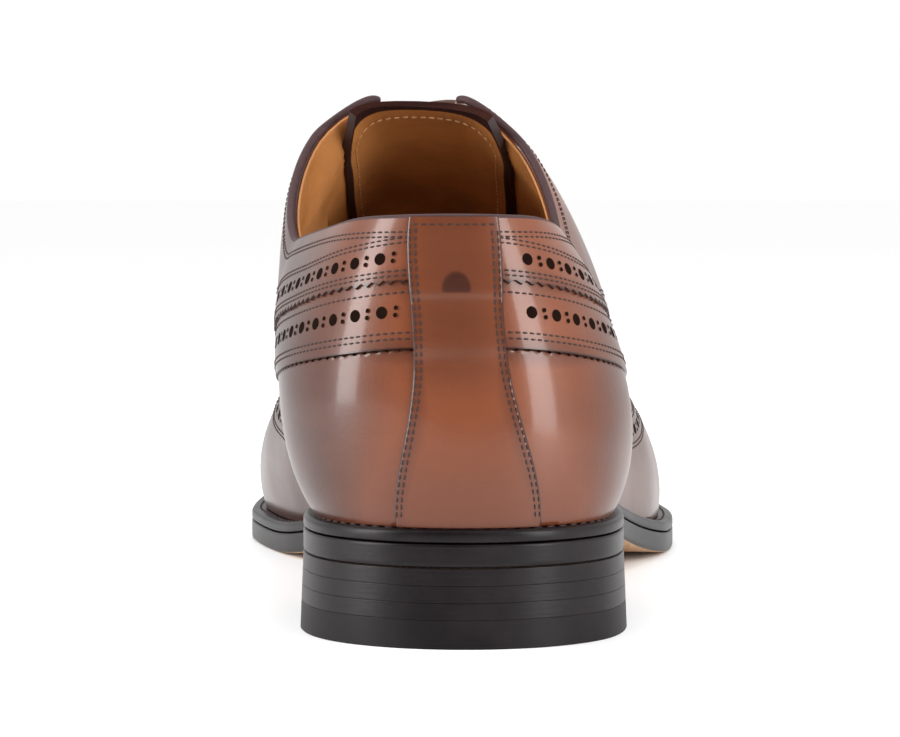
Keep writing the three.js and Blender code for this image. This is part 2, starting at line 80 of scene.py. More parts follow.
# The ribs of the last, from the middle of the heel back to the tip of the toe.
COLUMNS = (
    "at lateral medial turn top_at mid half rise_lat rise_med "
    "belly_lat belly_med belly_up shoulder_lat shoulder_med drop"
).split()
RIBS = np.array([
    [0, 0, 0, 0, 0.028, -0.044, 0, 1, 1, 0.051, 0.051, 0.35, 0.074, 0.074, 0.3],
    [0.0132, 0.235, 0.235, 28, 0.031, -0.044, 0.132, 0.997, 0.997, 0.06, 0.07, 0.35, 0.09, 0.09, 0.3],
    [0.0526, 0.42, 0.42, 62, 0.056, -0.051, 0.257, 0.984, 0.984, 0.09, 0.12, 0.3, 0.13, 0.12, 0.3],
    [0.1118, 0.5, 0.5, 86, 0.105, -0.059, 0.338, 0.943, 0.951, 0.13, 0.16, 0.27, 0.19, 0.165, 0.3],
    [0.1908, 0.5, 0.485, 90, 0.181, -0.096, 0.404, 0.879, 0.903, 0.16, 0.147, 0.28, 0.176, 0.132, 0.3],
    [0.2566, 0.479, 0.435, 90, 0.25, -0.114, 0.407, 0.844, 0.872, 0.143, 0.17, 0.3, 0.186, 0.057, 0.3],
    [0.3026, 0.46, 0.38, 90, 0.303, -0.115, 0.31, 0.897, 0.92, 0.121, 0.175, 0.3, 0.229, 0.135, 0.28],
    [0.3421, 0.446, 0.345, 90, 0.332, -0.108, 0.114, 0.975, 0.975, 0.089, 0.177, 0.32, 0.304, 0.253, 0.13],
    [0.4112, 0.44, 0.3, 90, 0.398, -0.085, 0.079, 0.899, 0.899, 0.056, 0.18, 0.4, 0.293, 0.248, 0.1],
    [0.4934, 0.467, 0.317, 90, 0.47, -0.06, 0.055, 0.832, 0.832, 0.04, 0.152, 0.42, 0.262, 0.222, 0.07],
    [0.5757, 0.519, 0.385, 90, 0.536, -0.043, 0, 0.755, 0.755, 0.04, 0.125, 0.45, 0.265, 0.227, 0.05],
    [0.6579, 0.553, 0.447, 90, 0.618, -0.028, 0, 0.639, 0.639, 0.046, 0.105, 0.45, 0.283, 0.245, 0.04],
    [0.7303, 0.549, 0.474, 91, 0.694, -0.014, 0, 0.535, 0.535, 0.043, 0.075, 0.5, 0.283, 0.255, 0.03],
    [0.8059, 0.5, 0.446, 97, 0.766, 0, 0, 0.432, 0.432, 0.033, 0.05, 0.55, 0.255, 0.236, 0.03],
    [0.875, 0.405, 0.385, 110, 0.826, 0.005, 0, 0.341, 0.341, 0.028, 0.028, 0.6, 0.208, 0.198, 0.03],
    [0.9342, 0.292, 0.284, 130, 0.872, 0.005, 0, 0.261, 0.261, 0.028, 0.028, 0.65, 0.17, 0.165, 0.02],
    [0.98, 0.166, 0.164, 153, 0.898, 0.005, 0, 0.205, 0.205, 0.028, 0.028, 0.65, 0.142, 0.142, 0.02],
    [1, 0, 0, 180, 0.908, 0.005, 0, 0.179, 0.179, 0.028, 0.028, 0.65, 0.132, 0.132, 0.02],
])
WING_EDGE = np.array(
    [0.56, 0.56, 0.55, 0.53, 0.49, 0.42, 0.33, 0.26, 0.23, 0.25, 0.32, 0.45, 0.72, 1, 1, 1, 1, 1]
)
QUARTER_EDGE = np.array(
    [0.78, 0.78, 0.76, 0.73, 0.69, 0.58, 0.44, 0.33, 0.3, 0.42, 1, 1, 1, 1, 1, 1, 1, 1]
)

# Rib numbers at which a form starts or ends
TIP = len(RIBS) - 1
STRIP_EDGE = 1.0
FACING_TOP = 7.0
BAND_END = 8.0
THROAT = 10.0
WING_PEAK = 13.0

# Places along the shoe, as shares of the sole's length: where it widens and rises, the middle and
# the front of the heel, and the ends of the tread
WIDENS = (0.2, 0.6)
RISES = (0.2, 0.34)
HEEL_CENTRE_AT = 0.1118
BREAST_AT = 0.262
TREAD_START_AT = 0.625
TREAD_END_AT = 0.707


class ShoeSizes(bpy.types.PropertyGroup):
    """The sizes of the shoe."""

    sole_length: FloatProperty(
        name="Sole length", description="From heel back to toe tip", default=0.304, unit="LENGTH"
    )
    ball_width: FloatProperty(
        name="Ball width", description="Width of the sole at the tread", default=0.106, unit="LENGTH"
    )
    heel_width: FloatProperty(
        name="Heel width", description="Width of the sole at the heel", default=0.068, unit="LENGTH"
    )
    back_height: FloatProperty(
        name="Back height", description="Height of the upper at the heel back", default=0.063, unit="LENGTH"
    )
    instep_height: FloatProperty(
        name="Instep height", description="Height of the upper at the facings", default=0.092, unit="LENGTH"
    )
    heel_height: FloatProperty(
        name="Heel height", description="Height of the heel block", default=0.0165, unit="LENGTH"
    )
    toe_spring: FloatProperty(
        name="Toe spring", description="Rise of the toe over the floor", default=0.0115, unit="LENGTH"
    )
    layer: FloatProperty(
        name="Leather layer", description="Step from one leather piece to the next",
        default=0.0006, unit="LENGTH"
    )
    stitch_pitch: FloatProperty(
        name="Stitch pitch", description="From one stitch to the next", default=0.0016, unit="LENGTH"
    )
    hole_pitch: FloatProperty(
        name="Hole pitch", description="From one large brogue hole to the next", default=0.0064, unit="LENGTH"
    )
    hole_radius: FloatProperty(
        name="Hole radius", description="Radius of the large brogue holes", default=0.0013, unit="LENGTH"
    )
    gimp_pitch: FloatProperty(
        name="Gimp pitch", description="From tooth to tooth of the cut edges", default=0.0026, unit="LENGTH"
    )
    lace_radius: FloatProperty(
        name="Lace radius", description="Radius of the round lace", default=0.0011, unit="LENGTH"
    )
    crease_depth: FloatProperty(
        name="Crease depth", description="Depth of the walking creases", default=0.0009, unit="LENGTH"
    )


def colour_setting(name, description, default):
    """A colour that a user can change."""
    return FloatVectorProperty(
        name=name, description=description, default=default, size=4, min=0.0, max=1.0, subtype="COLOR"
    )


class ShoeColours(bpy.types.PropertyGroup):
    """The colours of the shoe and of the floor."""

    leather: colour_setting("Leather", "Lights of the upper", (0.160, 0.041, 0.013, 1))
    # Colour of burnished leather, also used for the painted shade and painted dark reflection on the upper
    burnish_and_shade: colour_setting("Burnish", "Darkened parts of the upper", (0.019, 0.0042, 0.0027, 1))
    lining: colour_setting("Lining", "Lining leather", (0.42, 0.165, 0.042, 1))
    piping: colour_setting("Collar edge", "Rolled edge of the collar", (0.030, 0.012, 0.013, 1))
    thread: colour_setting("Thread", "Stitches of the upper", (0.022, 0.009, 0.007, 1))
    edge: colour_setting("Sole edge", "Dyed edge of sole and heel", (0.0040, 0.0024, 0.0029, 1))
    bottom: colour_setting("Sole bottom", "Natural leather of the bottom", (0.52, 0.30, 0.15, 1))
    lace: colour_setting("Lace", "Waxed lace", (0.045, 0.02, 0.014, 1))
    cloth: colour_setting("Dark cloth", "Cloth behind the camera", (0.02, 0.018, 0.02, 1))
    floor: colour_setting("Floor", "Studio floor and backdrop", (0.985, 0.985, 0.985, 1))


def ease(value, low, high):
    """A smooth step from 0 at low to 1 at high."""
    t = np.clip((value - low) / (high - low), 0.0, 1.0)
    return t * t * (3 - 2 * t)


def smooth_column(values, r, odd=False, far=0.0):
    """A table column between its rows, mirrored past both ends."""
    low = np.clip(np.floor(r), 0, TIP - 1).astype(int)
    t = r - low

    def value(i):
        folded = np.abs(i)
        folded = np.where(folded > TIP, 2 * TIP - folded, folded)
        inside = values[folded]
        if not odd:
            return inside
        return np.where(i < 0, -inside, np.where(i > TIP, 2 * far - inside, inside))

    a, b, c, d = value(low - 1), value(low), value(low + 1), value(low + 2)
    t2, t3 = t * t, t * t * t
    ends = (2 * t3 - 3 * t2 + 1) * b + (3 * t2 - 2 * t3) * c
    return ends + (t3 - 2 * t2 + t) * (c - a) / 2 + (t3 - t2) * (d - b) / 2


def column(name, r, odd=False, far=0.0):
    """A named column of the rib table."""
    return smooth_column(RIBS[:, COLUMNS.index(name)], r, odd, far)


def wing_edge(place):
    """Upper edge of the foxing and the wing cap, as a share of the rib."""
    return np.clip(smooth_column(WING_EDGE, rib_and_side(place)[0]), 0, 1)


def quarter_edge(place):
    """Lower edge of the quarters, as a share of the rib."""
    r = rib_and_side(place)[0]
    return np.where(r >= THROAT, 1.0, np.clip(smooth_column(QUARTER_EDGE, r), 0, 1))


def band_line(share):
    """A line in the brogued band, at a share of the band's height."""
    return lambda place: wing_edge(place) * (1 - share) + quarter_edge(place) * share


def rib_and_side(place):
    """A place is a rib number, plus on the outer side and minus on the inner side of the foot."""
    place = np.asarray(place, float)
    wrapped = np.where(place > TIP, place - 2 * TIP, np.where(place <= -TIP, place + 2 * TIP, place))
    return np.abs(wrapped), np.where(wrapped < 0, -1.0, 1.0)


def unit(vectors):
    """The same directions, one long."""
    return vectors / np.maximum(np.linalg.norm(vectors, axis=-1, keepdims=True), 1e-12)


class Last:
    """The form that the pieces are laid on. A point has a place round the shoe and a share v,
    from 0 at the welt to 1 at the collar or the ridge."""

    def __init__(self, sizes):
        self.length = sizes.sole_length
        self.sizes = sizes

    def width(self, at):
        """Scale of the widths, from heel to ball."""
        sizes = self.sizes
        return sizes.heel_width + (sizes.ball_width - sizes.heel_width) * ease(at, *WIDENS)

    def height(self, at):
        """Scale of the heights, from heel back to instep."""
        sizes = self.sizes
        return sizes.back_height + (sizes.instep_height - sizes.back_height) * ease(at, *RISES)

    def underside(self, y):
        """Height of the sole's underside over the floor."""
        at = y / self.length
        arch = (at - BREAST_AT) / (TREAD_START_AT - BREAST_AT)
        arched = self.sizes.heel_height * (1 + np.cos(np.pi * np.clip(arch, 0, 1))) / 2
        spring = np.clip((at - TREAD_END_AT) / (1 - TREAD_END_AT), 0, 1) ** 1.8
        return arched + self.sizes.toe_spring * spring

    def sole_top(self, y):
        """Height of the outsole's upper face."""
        return self.underside(y) + SOLE_THICKNESS

    def welt_base(self, y):
        """Height of the welt's lower face."""
        return self.sole_top(y) + GAP

    def welt_top(self, y):
        """Height of the welt's upper face."""
        return self.welt_base(y) + WELT_THICKNESS

    def seat(self, y):
        """Height at which the upper and the insole start."""
        return self.welt_top(y) + GAP

    def sole_edge(self, place):
        """The sole's outline in plan."""
        r, side = rib_and_side(place)
        at = column("at", r)
        half = np.where(side > 0, column("lateral", r, odd=True), column("medial", r, odd=True))
        return np.stack([side * self.width(at) * half, at * self.length], -1)

    def footprint(self, place, inset):
        """The sole's outline moved inwards."""
        along = unit(self.sole_edge(place + 0.05) - self.sole_edge(place - 0.05))
        inward = np.stack([-along[..., 1], along[..., 0]], -1)
        return self.sole_edge(place) + inward * np.asarray(inset)[..., None]

    def skin(self, place, v):
        """Points of the lined wall's surface, measured from the heel back."""
        r, side = rib_and_side(place)
        lateral = side > 0
        at = column("at", r)
        width = self.width(at)
        margin = SEAT_MARGIN + (TREAD_MARGIN - SEAT_MARGIN) * ease(at, 0.25, 0.6)
        foot = self.footprint(place, margin)
        start = np.stack([foot[..., 0], foot[..., 1], self.seat(foot[..., 1])], -1)
        rise = self.height(at) * np.where(lateral, column("rise_lat", r), column("rise_med", r))
        half = np.where(r >= THROAT, 0.0, np.maximum(0.0, column("half", r, odd=True)))
        end_x = width * (column("mid", r) + side * half)
        end = np.stack([end_x, self.length * column("top_at", r), self.seat(at * self.length) + rise], -1)
        turn = np.radians(column("turn", r, odd=True, far=180.0))
        outward = np.stack([side * np.sin(turn), -np.cos(turn), np.zeros_like(turn)], -1)
        up = np.array([0.0, 0.0, 1.0])
        belly = width * np.where(lateral, column("belly_lat", r), column("belly_med", r))
        belly = start + outward * belly[..., None] + up * (rise * column("belly_up", r))[..., None]
        shoulder = width * np.where(lateral, column("shoulder_lat", r), column("shoulder_med", r))
        shoulder = end + outward * shoulder[..., None] - up * (rise * column("drop", r))[..., None]
        v = np.asarray(v, float)[..., None]
        w = 1 - v
        return w**3 * start + 3 * w * w * v * belly + 3 * w * v * v * shoulder + v**3 * end

    def outward(self, place, v):
        """The direction out of the skin."""
        r, _ = rib_and_side(place)
        round_about = self.skin(place + 0.05, v) - self.skin(place - 0.05, v)
        up = self.skin(place, np.minimum(1, v + 0.02)) - self.skin(place, np.maximum(0, v - 0.02))
        out = np.cross(round_about, up)
        out[..., 2] = np.where(v <= 0, 0, out[..., 2])
        along = self.skin(r, np.ones_like(r)) - self.skin(r - 0.5, np.ones_like(r))
        ridge = np.stack([np.zeros_like(r), -along[..., 2], along[..., 1]], -1)
        on_ridge = (v >= 1) & (r >= THROAT)
        return unit(np.where(on_ridge[..., None], unit(ridge), unit(out)))

    def creases(self, place, v):
        """Soft troughs and ridges that wear has left, as a move along the skin's normal."""
        r, side = rib_and_side(place)
        depth = self.sizes.crease_depth
        moved = np.zeros_like(r)
        across = ease(v, 0.2, 0.75)
        for centre, breadth, share in VAMP_CREASES:
            shifted = r - centre - 0.5 * (1 - v) * (0.6 + 0.4 * side)
            trough = np.exp(-((shifted / breadth) ** 2))
            ridge = np.exp(-(((shifted - 1.9 * breadth) / breadth) ** 2))
            moved += depth * share * across * (0.55 * ridge - trough)
        for centre, height, breadth, share in QUARTER_CREASES:
            level = height + 0.05 * (r - centre)
            near = np.exp(-(((r - centre) / 0.8) ** 2) - ((v - level) / breadth) ** 2)
            moved += -depth * share * near
        return moved

    def at(self, place, v, off=0.0):
        """Points a distance off the skin, in the shoe's own frame."""
        place, v = np.broadcast_arrays(np.asarray(place, float), np.asarray(v, float))
        away = np.broadcast_to(np.asarray(off, float), place.shape) + self.creases(place, v)
        points = self.skin(place, v) + self.outward(place, v) * away[..., None]
        return self.to_frame(points)

    def to_frame(self, points):
        """Moves points from the heel back to the frame's own origin."""
        return points - np.array([0.0, HEEL_CENTRE_AT * self.length, 0.0])

    def down_from(self, place, edge, distance):
        """The share v that lies a distance below an edge."""
        step = 0.01
        low, high = np.clip(edge - step, 0, 1), np.clip(edge + step, 0, 1)
        speed = np.linalg.norm(self.skin(place, high) - self.skin(place, low), axis=-1) / (high - low)
        return edge - distance / speed


# Rib number, breadth in ribs and share of the depth of each walking crease
VAMP_CREASES = ((10.75, 0.16, 0.7), (11.35, 0.2, 1.0), (12.0, 0.17, 0.75), (12.5, 0.14, 0.4))
# Rib number, share of height, breadth and share of the depth of each quarter crease
QUARTER_CREASES = ((4.6, 0.72, 0.05, 0.35), (5.6, 0.55, 0.06, 0.4), (2.2, 0.66, 0.05, 0.2))


# Half width of the back strip in ribs, fitted over shares of the height
STRIP_SHAPE = np.polyfit((0.0, 0.27, 0.46, 0.71, 1.0), (1.0, 0.82, 0.71, 0.78, 0.95), 4)


def strip_half(v):
    """Place of the back strip's edge at each share of the height."""
    return STRIP_EDGE * np.polyval(STRIP_SHAPE, v)


def strip_under(layer, v):
    """Height of the layers that the back strip lies on."""
    return layer * (1 + ease(v, 0.50, 0.60) + ease(v, 0.70, 0.76))


# Materials


class Shade:
    """A value over a surface. Arithmetic on it adds the nodes that work it out."""

    def __init__(self, finish, socket):
        self.finish = finish
        self.socket = socket

    def _with(self, operation, first, second):
        return self.finish.node("ShaderNodeMath", {"operation": operation}, {0: first, 1: second})

    def __add__(self, other):
        return self._with("ADD", self, other)

    def __radd__(self, other):
        return self._with("ADD", other, self)

    def __sub__(self, other):
        return self._with("SUBTRACT", self, other)

    def __rsub__(self, other):
        return self._with("SUBTRACT", other, self)

    def __mul__(self, other):
        return self._with("MULTIPLY", self, other)

    def __rmul__(self, other):
        return self._with("MULTIPLY", other, self)

    def greatest(self, other):
        """The greater of the two values."""
        return self._with("MAXIMUM", self, other)

    def least(self, other):
        """The smaller of the two values."""
        return self._with("MINIMUM", self, other)


class Finish:
    """One material and the nodes that make it."""

    def __init__(self, name):
        self.material = bpy.data.materials.new(name + "_finish")
        self.material.use_nodes = True
        self.tree = self.material.node_tree
        self.tree.nodes.clear()

    def node(self, kind, settings=None, inputs=None, output=0):
        """Adds a node, sets it up, fills its sockets and gives back one of its outputs."""
        node = self.tree.nodes.new(kind)
        for key, value in (settings or {}).items():
            setattr(node, key, value)
        for key, value in (inputs or {}).items():
            if isinstance(value, Shade):
                self.tree.links.new(value.socket, node.inputs[key])
            else:
                node.inputs[key].default_value = value
        return Shade(self, node.outputs[output]) if len(node.outputs) else None

    def place(self):
        """The surface's own coordinates, in metres."""
        return self.node("ShaderNodeTexCoord", output="Object")

    def axis(self, letter):
        """One of the surface's coordinates."""
        return self.node("ShaderNodeSeparateXYZ", None, {0: self.place()}, output=letter)

    def stretched(self, scale):
        """The coordinates scaled by an amount along each axis."""
        return self.node(
            "ShaderNodeVectorMath", {"operation": "MULTIPLY"}, {0: self.place(), 1: scale}
        )

    def noise(self, scale, detail=3.0, roughness=0.5, where=None):
        """Cloudy variation from 0 to 1."""
        inputs = {"Vector": where or self.place(), "Scale": scale, "Detail": detail, "Roughness": roughness}
        return self.node("ShaderNodeTexNoise", None, inputs)

    def cells(self, scale):
        """Distance from the middles of small cells."""
        return self.node("ShaderNodeTexVoronoi", {"feature": "F1"}, {"Vector": self.place(), "Scale": scale})

    def attribute(self, name):
        """A number that the mesh carries at each vertex."""
        return self.node("ShaderNodeAttribute", {"attribute_name": name}, output="Fac")

    def step(self, value, low, high):
        """A smooth step from 0 at low to 1 at high."""
        inputs = {"Value": value, "From Min": low, "From Max": high}
        return self.node("ShaderNodeMapRange", {"interpolation_type": "SMOOTHSTEP"}, inputs)

    def size_of(self, value):
        """A value without its sign."""
        return self.node("ShaderNodeMath", {"operation": "ABSOLUTE"}, {0: value})

    def blend(self, factor, first, second):
        """A colour between two colours."""
        return self.node("ShaderNodeMix", {"data_type": "RGBA"}, {0: factor, 6: first, 7: second}, output=2)

    def bump(self, height, distance, strength=1.0):
        """A surface roughened by a height in metres."""
        inputs = {"Strength": strength, "Distance": distance, "Height": height}
        return self.node("ShaderNodeBump", None, inputs)

    def surface(self, **inputs):
        """Closes the material with a principled surface."""
        named = {key.replace("_", " "): value for key, value in inputs.items()}
        shader = self.node("ShaderNodeBsdfPrincipled", None, named)
        self.node("ShaderNodeOutputMaterial", None, {"Surface": shader})
        return self.material


# Where the darkening of the upper sets in and where it is full, in metres: across on the inner and outer
# sides partly burnished leather, partly painted shade, and upwards from the welt
BURNISH_AND_SHADE_INNER = (-0.036, -0.014)
BURNISH_AND_SHADE_OUTER = (0.012, 0.036)
DARKER_LOW = (0.026, 0.05)


def leather_finish(colours):
    """Burnished and polished calf, with painted shade on the sides and back strip and a painted dark
    reflection.
    """
    f = Finish("upper_calf")
    clouds = f.noise(22.0, 2.0, 0.5)
    streaks = f.noise(1.0, 4.0, 0.6, where=f.stretched((60.0, 30.0, 160.0)))
    x, height = f.axis("X"), f.axis("Z")
    rim = f.attribute("rim")
    edge_dark = (1.0 - f.step(rim, 0.0001, 0.0009)).greatest(0.5 * (1.0 - f.step(rim, 0.0005, 0.005)))
    # Darker on the inner and outer sides: partly burnished leather, partly painted shade
    inner_side = 1.0 - f.step(x + (clouds - 0.5) * 0.02, *BURNISH_AND_SHADE_INNER)
    outer_side = f.step(x + (clouds - 0.5) * 0.02, *BURNISH_AND_SHADE_OUTER)
    # Darker towards the welt
    low = 1.0 - f.step(height + (streaks - 0.5) * 0.02, *DARKER_LOW)
    # Painted shade in the middle of the back strip, from mid height up
    strip_middle_shade = (1.0 - f.step(f.size_of(x + 0.003), 0.002, 0.016)) * f.step(height, 0.046, 0.062)
    dark = 0.5 * f.step(clouds, 0.38, 0.72)
    # Painted dark reflection in the half moon high on the back strip
    dark = dark.greatest(0.85 * heel_reflection_mask(f)).greatest(strip_middle_shade * 0.42)
    dark = dark.greatest(edge_dark * 0.95).greatest(inner_side * 0.88).greatest(outer_side * 0.7)
    dark = dark.greatest(low * 0.35)
    dark = (dark + (streaks - 0.5) * 0.24).least(0.97).greatest(0.0)
    colour = f.blend(dark, tuple(colours.leather), tuple(colours.burnish_and_shade))
    grain = f.cells(1500.0) * 0.5 + f.noise(900.0, 2.0) * 0.5
    wrinkles = f.noise(1.0, 3.0, 0.55, where=f.stretched((380.0, 220.0, 700.0)))
    relief = f.bump(grain * 0.4 + wrinkles * 0.6, 0.00010, 0.55)
    rough = 0.3 + 0.16 * f.noise(60.0, 3.0)
    return f.surface(
        Base_Color=colour, Roughness=rough, Normal=relief, Coat_Weight=0.3, Coat_Roughness=0.12, IOR=1.36
    )


# Middle and scale of the half moon of painted dark reflection on the back strip, and heights between which it
# is cut flat
HEEL_REFLECTION_MIDDLE = (-0.0025, -0.026, 0.0735)
HEEL_REFLECTION_SCALE = (250.0, 90.0, 210.0)
HEEL_REFLECTION_FLAT = (0.0722, 0.0732)


def heel_reflection_mask(f):
    """Mask of the small half moon high on the back strip: a painted dark reflection where the back curves
    over the top of the stiffener.
    """
    from_middle = f.node(
        "ShaderNodeVectorMath", {"operation": "SUBTRACT"}, {0: f.place(), 1: HEEL_REFLECTION_MIDDLE}
    )
    shaped = f.node(
        "ShaderNodeVectorMath", {"operation": "MULTIPLY"}, {0: from_middle, 1: HEEL_REFLECTION_SCALE}
    )
    distance = f.node("ShaderNodeVectorMath", {"operation": "LENGTH"}, {0: shaped}, output="Value")
    above = f.step(f.axis("Z"), *HEEL_REFLECTION_FLAT)
    return (1.0 - f.step(distance, 0.75, 1.1)) * above


def lining_finish(colours, margin=0.0):
    """Soft lining leather. Within the margin of its edges it shows the darker leather turned over."""
    f = Finish("tongue_lining" if margin else "lining_leather")
    clouds = f.noise(45.0, 4.0, 0.6)
    worn = f.step(clouds, 0.35, 0.75)
    darker = tuple(0.62 * c for c in tuple(colours.lining)[:3]) + (1.0,)
    colour = f.blend(worn, tuple(colours.lining), darker)
    if margin:
        turned = 1.0 - f.step(f.attribute("rim"), 0.8 * margin, margin)
        colour = f.blend(turned, colour, tuple(colours.burnish_and_shade))
    relief = f.bump(f.cells(1100.0) * 0.6 + f.noise(500.0, 3.0) * 0.4, 0.00012, 0.5)
    return f.surface(Base_Color=colour, Roughness=0.52 + 0.14 * clouds, Normal=relief, Coat_Weight=0.08)


def edge_finish(colours, name, roughness, relief_scale):
    """Dyed and waxed edge leather, or rubber, with faint marks along it."""
    f = Finish(name)
    clouds = f.noise(70.0, 4.0, 0.6)
    lines = f.noise(1.0, 3.0, 0.6, where=f.stretched((60.0, 60.0, relief_scale)))
    lighter = tuple(min(1.0, 2.0 * c + 0.003) for c in tuple(colours.edge)[:3]) + (1.0,)
    colour = f.blend(f.step(clouds, 0.3, 0.8), tuple(colours.edge), lighter)
    relief = f.bump(lines * 0.7 + f.noise(800.0, 2.0) * 0.3, 0.00012, 0.6)
    return f.surface(
        Base_Color=colour, Roughness=roughness + 0.15 * clouds, Normal=relief,
        Coat_Weight=0.06, Coat_Roughness=0.2, IOR=1.25,
    )


def bottom_finish(colours):
    """Natural leather of the sole's underside, scuffed where it treads."""
    f = Finish("sole_bottom")
    clouds = f.noise(40.0, 5.0, 0.6)
    scratches = f.noise(1.0, 4.0, 0.6, where=f.stretched((500.0, 60.0, 60.0)))
    darker = tuple(0.5 * c for c in tuple(colours.bottom)[:3]) + (1.0,)
    colour = f.blend(f.step(clouds * 0.5 + scratches * 0.5, 0.35, 0.7), tuple(colours.bottom), darker)
    relief = f.bump(scratches * 0.6 + f.cells(900.0) * 0.4, 0.0001, 0.5)
    return f.surface(Base_Color=colour, Roughness=0.5 + 0.2 * clouds, Normal=relief)


def thread_finish(name, colour, twist):
    """Waxed thread or lace with a fine twist."""
    f = Finish(name)
    fibres = f.noise(1.0, 2.0, 0.6, where=f.stretched((twist, twist * 0.7, twist)))
    lighter = tuple(min(1.0, 1.9 * c + 0.004) for c in tuple(colour)[:3]) + (1.0,)
    relief = f.bump(fibres, 0.00012, 0.8)
    mixed = f.blend(fibres, tuple(colour), lighter)
    return f.surface(Base_Color=mixed, Roughness=0.5 + 0.2 * fibres, Normal=relief, IOR=1.36)


def shadow_finish(name):
    """Painted shadow inside a punched hole."""
    f = Finish(name)
    fibres = f.noise(900.0, 2.0)
    colour = f.blend(fibres, (0.004, 0.002, 0.0015, 1.0), (0.012, 0.005, 0.003, 1.0))
    return f.surface(Base_Color=colour, Roughness=0.8 + 0.2 * fibres, IOR=1.1)


def floor_finish(colours):
    """Pale floor, almost even."""
    f = Finish("floor")
    clouds = f.noise(3.0, 2.0)
    darker = tuple(0.985 * c for c in tuple(colours.floor)[:3]) + (1.0,)
    return f.surface(Base_Color=f.blend(clouds, tuple(colours.floor), darker), Roughness=0.6 + 0.05 * clouds)


def cloth_finish(colours):
    """Dark cloth of the card behind the camera."""
    f = Finish("dark_cloth")
    threads = f.noise(200.0, 2.0)
    lighter = tuple(1.5 * c for c in tuple(colours.cloth)[:3]) + (1.0,)
    colour = f.blend(threads, tuple(colours.cloth), lighter)
    return f.surface(Base_Color=colour, Roughness=0.9 + 0.1 * threads, IOR=1.1)


def finish_named(name):
    """The material of that name, made when it is first needed."""
    made = bpy.data.materials.get(name + "_finish")
    if made is not None:
        return made
    colours = bpy.context.scene.shoe_colours
    makers = {
        "upper_calf": lambda: leather_finish(colours),
        "lining_leather": lambda: lining_finish(colours),
        "tongue_lining": lambda: lining_finish(colours, TONGUE_EDGE),
        "sole_edge": lambda: edge_finish(colours, "sole_edge", 0.3, 900.0),
        "heel_leather": lambda: edge_finish(colours, "heel_leather", 0.34, 1400.0),
        "top_piece_rubber": lambda: edge_finish(colours, "top_piece_rubber", 0.5, 300.0),
        "sole_bottom": lambda: bottom_finish(colours),
        "lace_cotton": lambda: thread_finish("lace_cotton", colours.lace, 1600.0),
        "stitch_thread": lambda: thread_finish("stitch_thread", colours.thread, 2500.0),
        "pale_thread": lambda: thread_finish("pale_thread", (0.36, 0.2, 0.1, 1.0), 2500.0),
        "hole_shadow": lambda: shadow_finish("hole_shadow"),
        "collar_piping": lambda: thread_finish("collar_piping", colours.piping, 700.0),
        "floor": lambda: floor_finish(colours),
        "dark_cloth": lambda: cloth_finish(colours),
    }
    return makers[name]()


# Modelling


def keep_piece(name, mesh, finishes, replaced=()):
    """Puts a finished mesh into the scene as a piece of the shoe."""
    for finish in finishes:
        mesh.materials.append(finish_named(finish))
    mesh.polygons.foreach_set("use_smooth", [True] * len(mesh.polygons))
    mesh.set_sharp_from_angle(angle=math.radians(50))
    piece = bpy.data.objects.new(name, mesh)
    bpy.context.scene.collection.objects.link(piece)
    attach(piece, "root")
    if replaced:
        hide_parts(*replaced)


def mesh_from(bm, name):
    """Closes a modelling session and gives its mesh."""
    mesh = bpy.data.meshes.new(name)
    bm.to_mesh(mesh)
    bm.free()
    return mesh


def steady(value):
    """The same share or distance at every place."""
    return lambda place: value + 0.0 * place


def walk(points):
    """Distance walked along a path, at each of its points."""
    return np.concatenate([[0], np.cumsum(np.linalg.norm(np.diff(points, axis=0), axis=1))])


def on_path(steps, walked, points):
    """Points at given steps of a path whose points have been given their own steps."""
    return np.stack([np.interp(steps, walked, points[:, k]) for k in range(3)], -1)


def soften(rows, times):
    """Smooths a path or a sheet of rows and holds its ends."""
    for _ in range(times):
        rows[1:-1] = (rows[:-2] + 2 * rows[1:-1] + rows[2:]) / 4
    return rows


def shaped_grid(columns, rows, shape):
    """A grid whose points are moved to where shape puts them. Shape gives points and rim values."""
    bm = bmesh.new()
    bmesh.ops.create_grid(bm, x_segments=columns, y_segments=rows, size=0.5)
    flat = np.array([vertex.co[:] for vertex in bm.verts])
    points, rims = shape(flat[:, 0] + 0.5, flat[:, 1] + 0.5)
    rim = bm.verts.layers.float.new("rim")
    for vertex, point, distance in zip(bm.verts, points.tolist(), rims.tolist()):
        vertex.co = point
        vertex[rim] = distance
    bmesh.ops.remove_doubles(bm, verts=bm.verts[:], dist=2e-6)
    return bm


def close_and_keep(name, bm, finishes, replaced=()):
    """Closes a modelled piece and puts it into the scene."""
    close_up(bm)
    keep_piece(name, mesh_from(bm, name), finishes, replaced)


def close_up(bm):
    """Fills what is still open and turns every face outwards."""
    open_edges = [edge for edge in bm.edges if edge.is_boundary]
    if open_edges:
        bmesh.ops.holes_fill(bm, edges=open_edges, sides=0)
    bmesh.ops.recalc_face_normals(bm, faces=bm.faces[:])


def even_places(last, first, final, edge, count):
    """Places at an even pitch along an edge of the upper."""
    dense = np.linspace(first, final, 2400)
    points = last.at(dense, edge(dense))
    walked = walk(points)
    places = np.interp(np.linspace(0, walked[-1], count + 1), walked, dense)
    return places, walked[-1]


def section_of_wall(rows, rows_inside):
    """Closed section of a leather wall: shares of its height, and depth from outside to inside."""
    lip = 0.012
    outside = [(0.0, 0.25), (lip / 2, 0.0)]
    outside += [(share, 0.0) for share in np.linspace(0.03, 0.97, rows)]
    top = [(1 - lip / 2, 0.0), (1.0, 0.25), (1.0, 0.8), (1 - lip / 2, 1.0)]
    inside = [(share, 1.0) for share in np.linspace(0.97, 0.03, rows_inside)]
    return np.array(outside + top + inside + [(lip / 2, 1.0), (0.0, 0.8), (0.0, 0.25)])


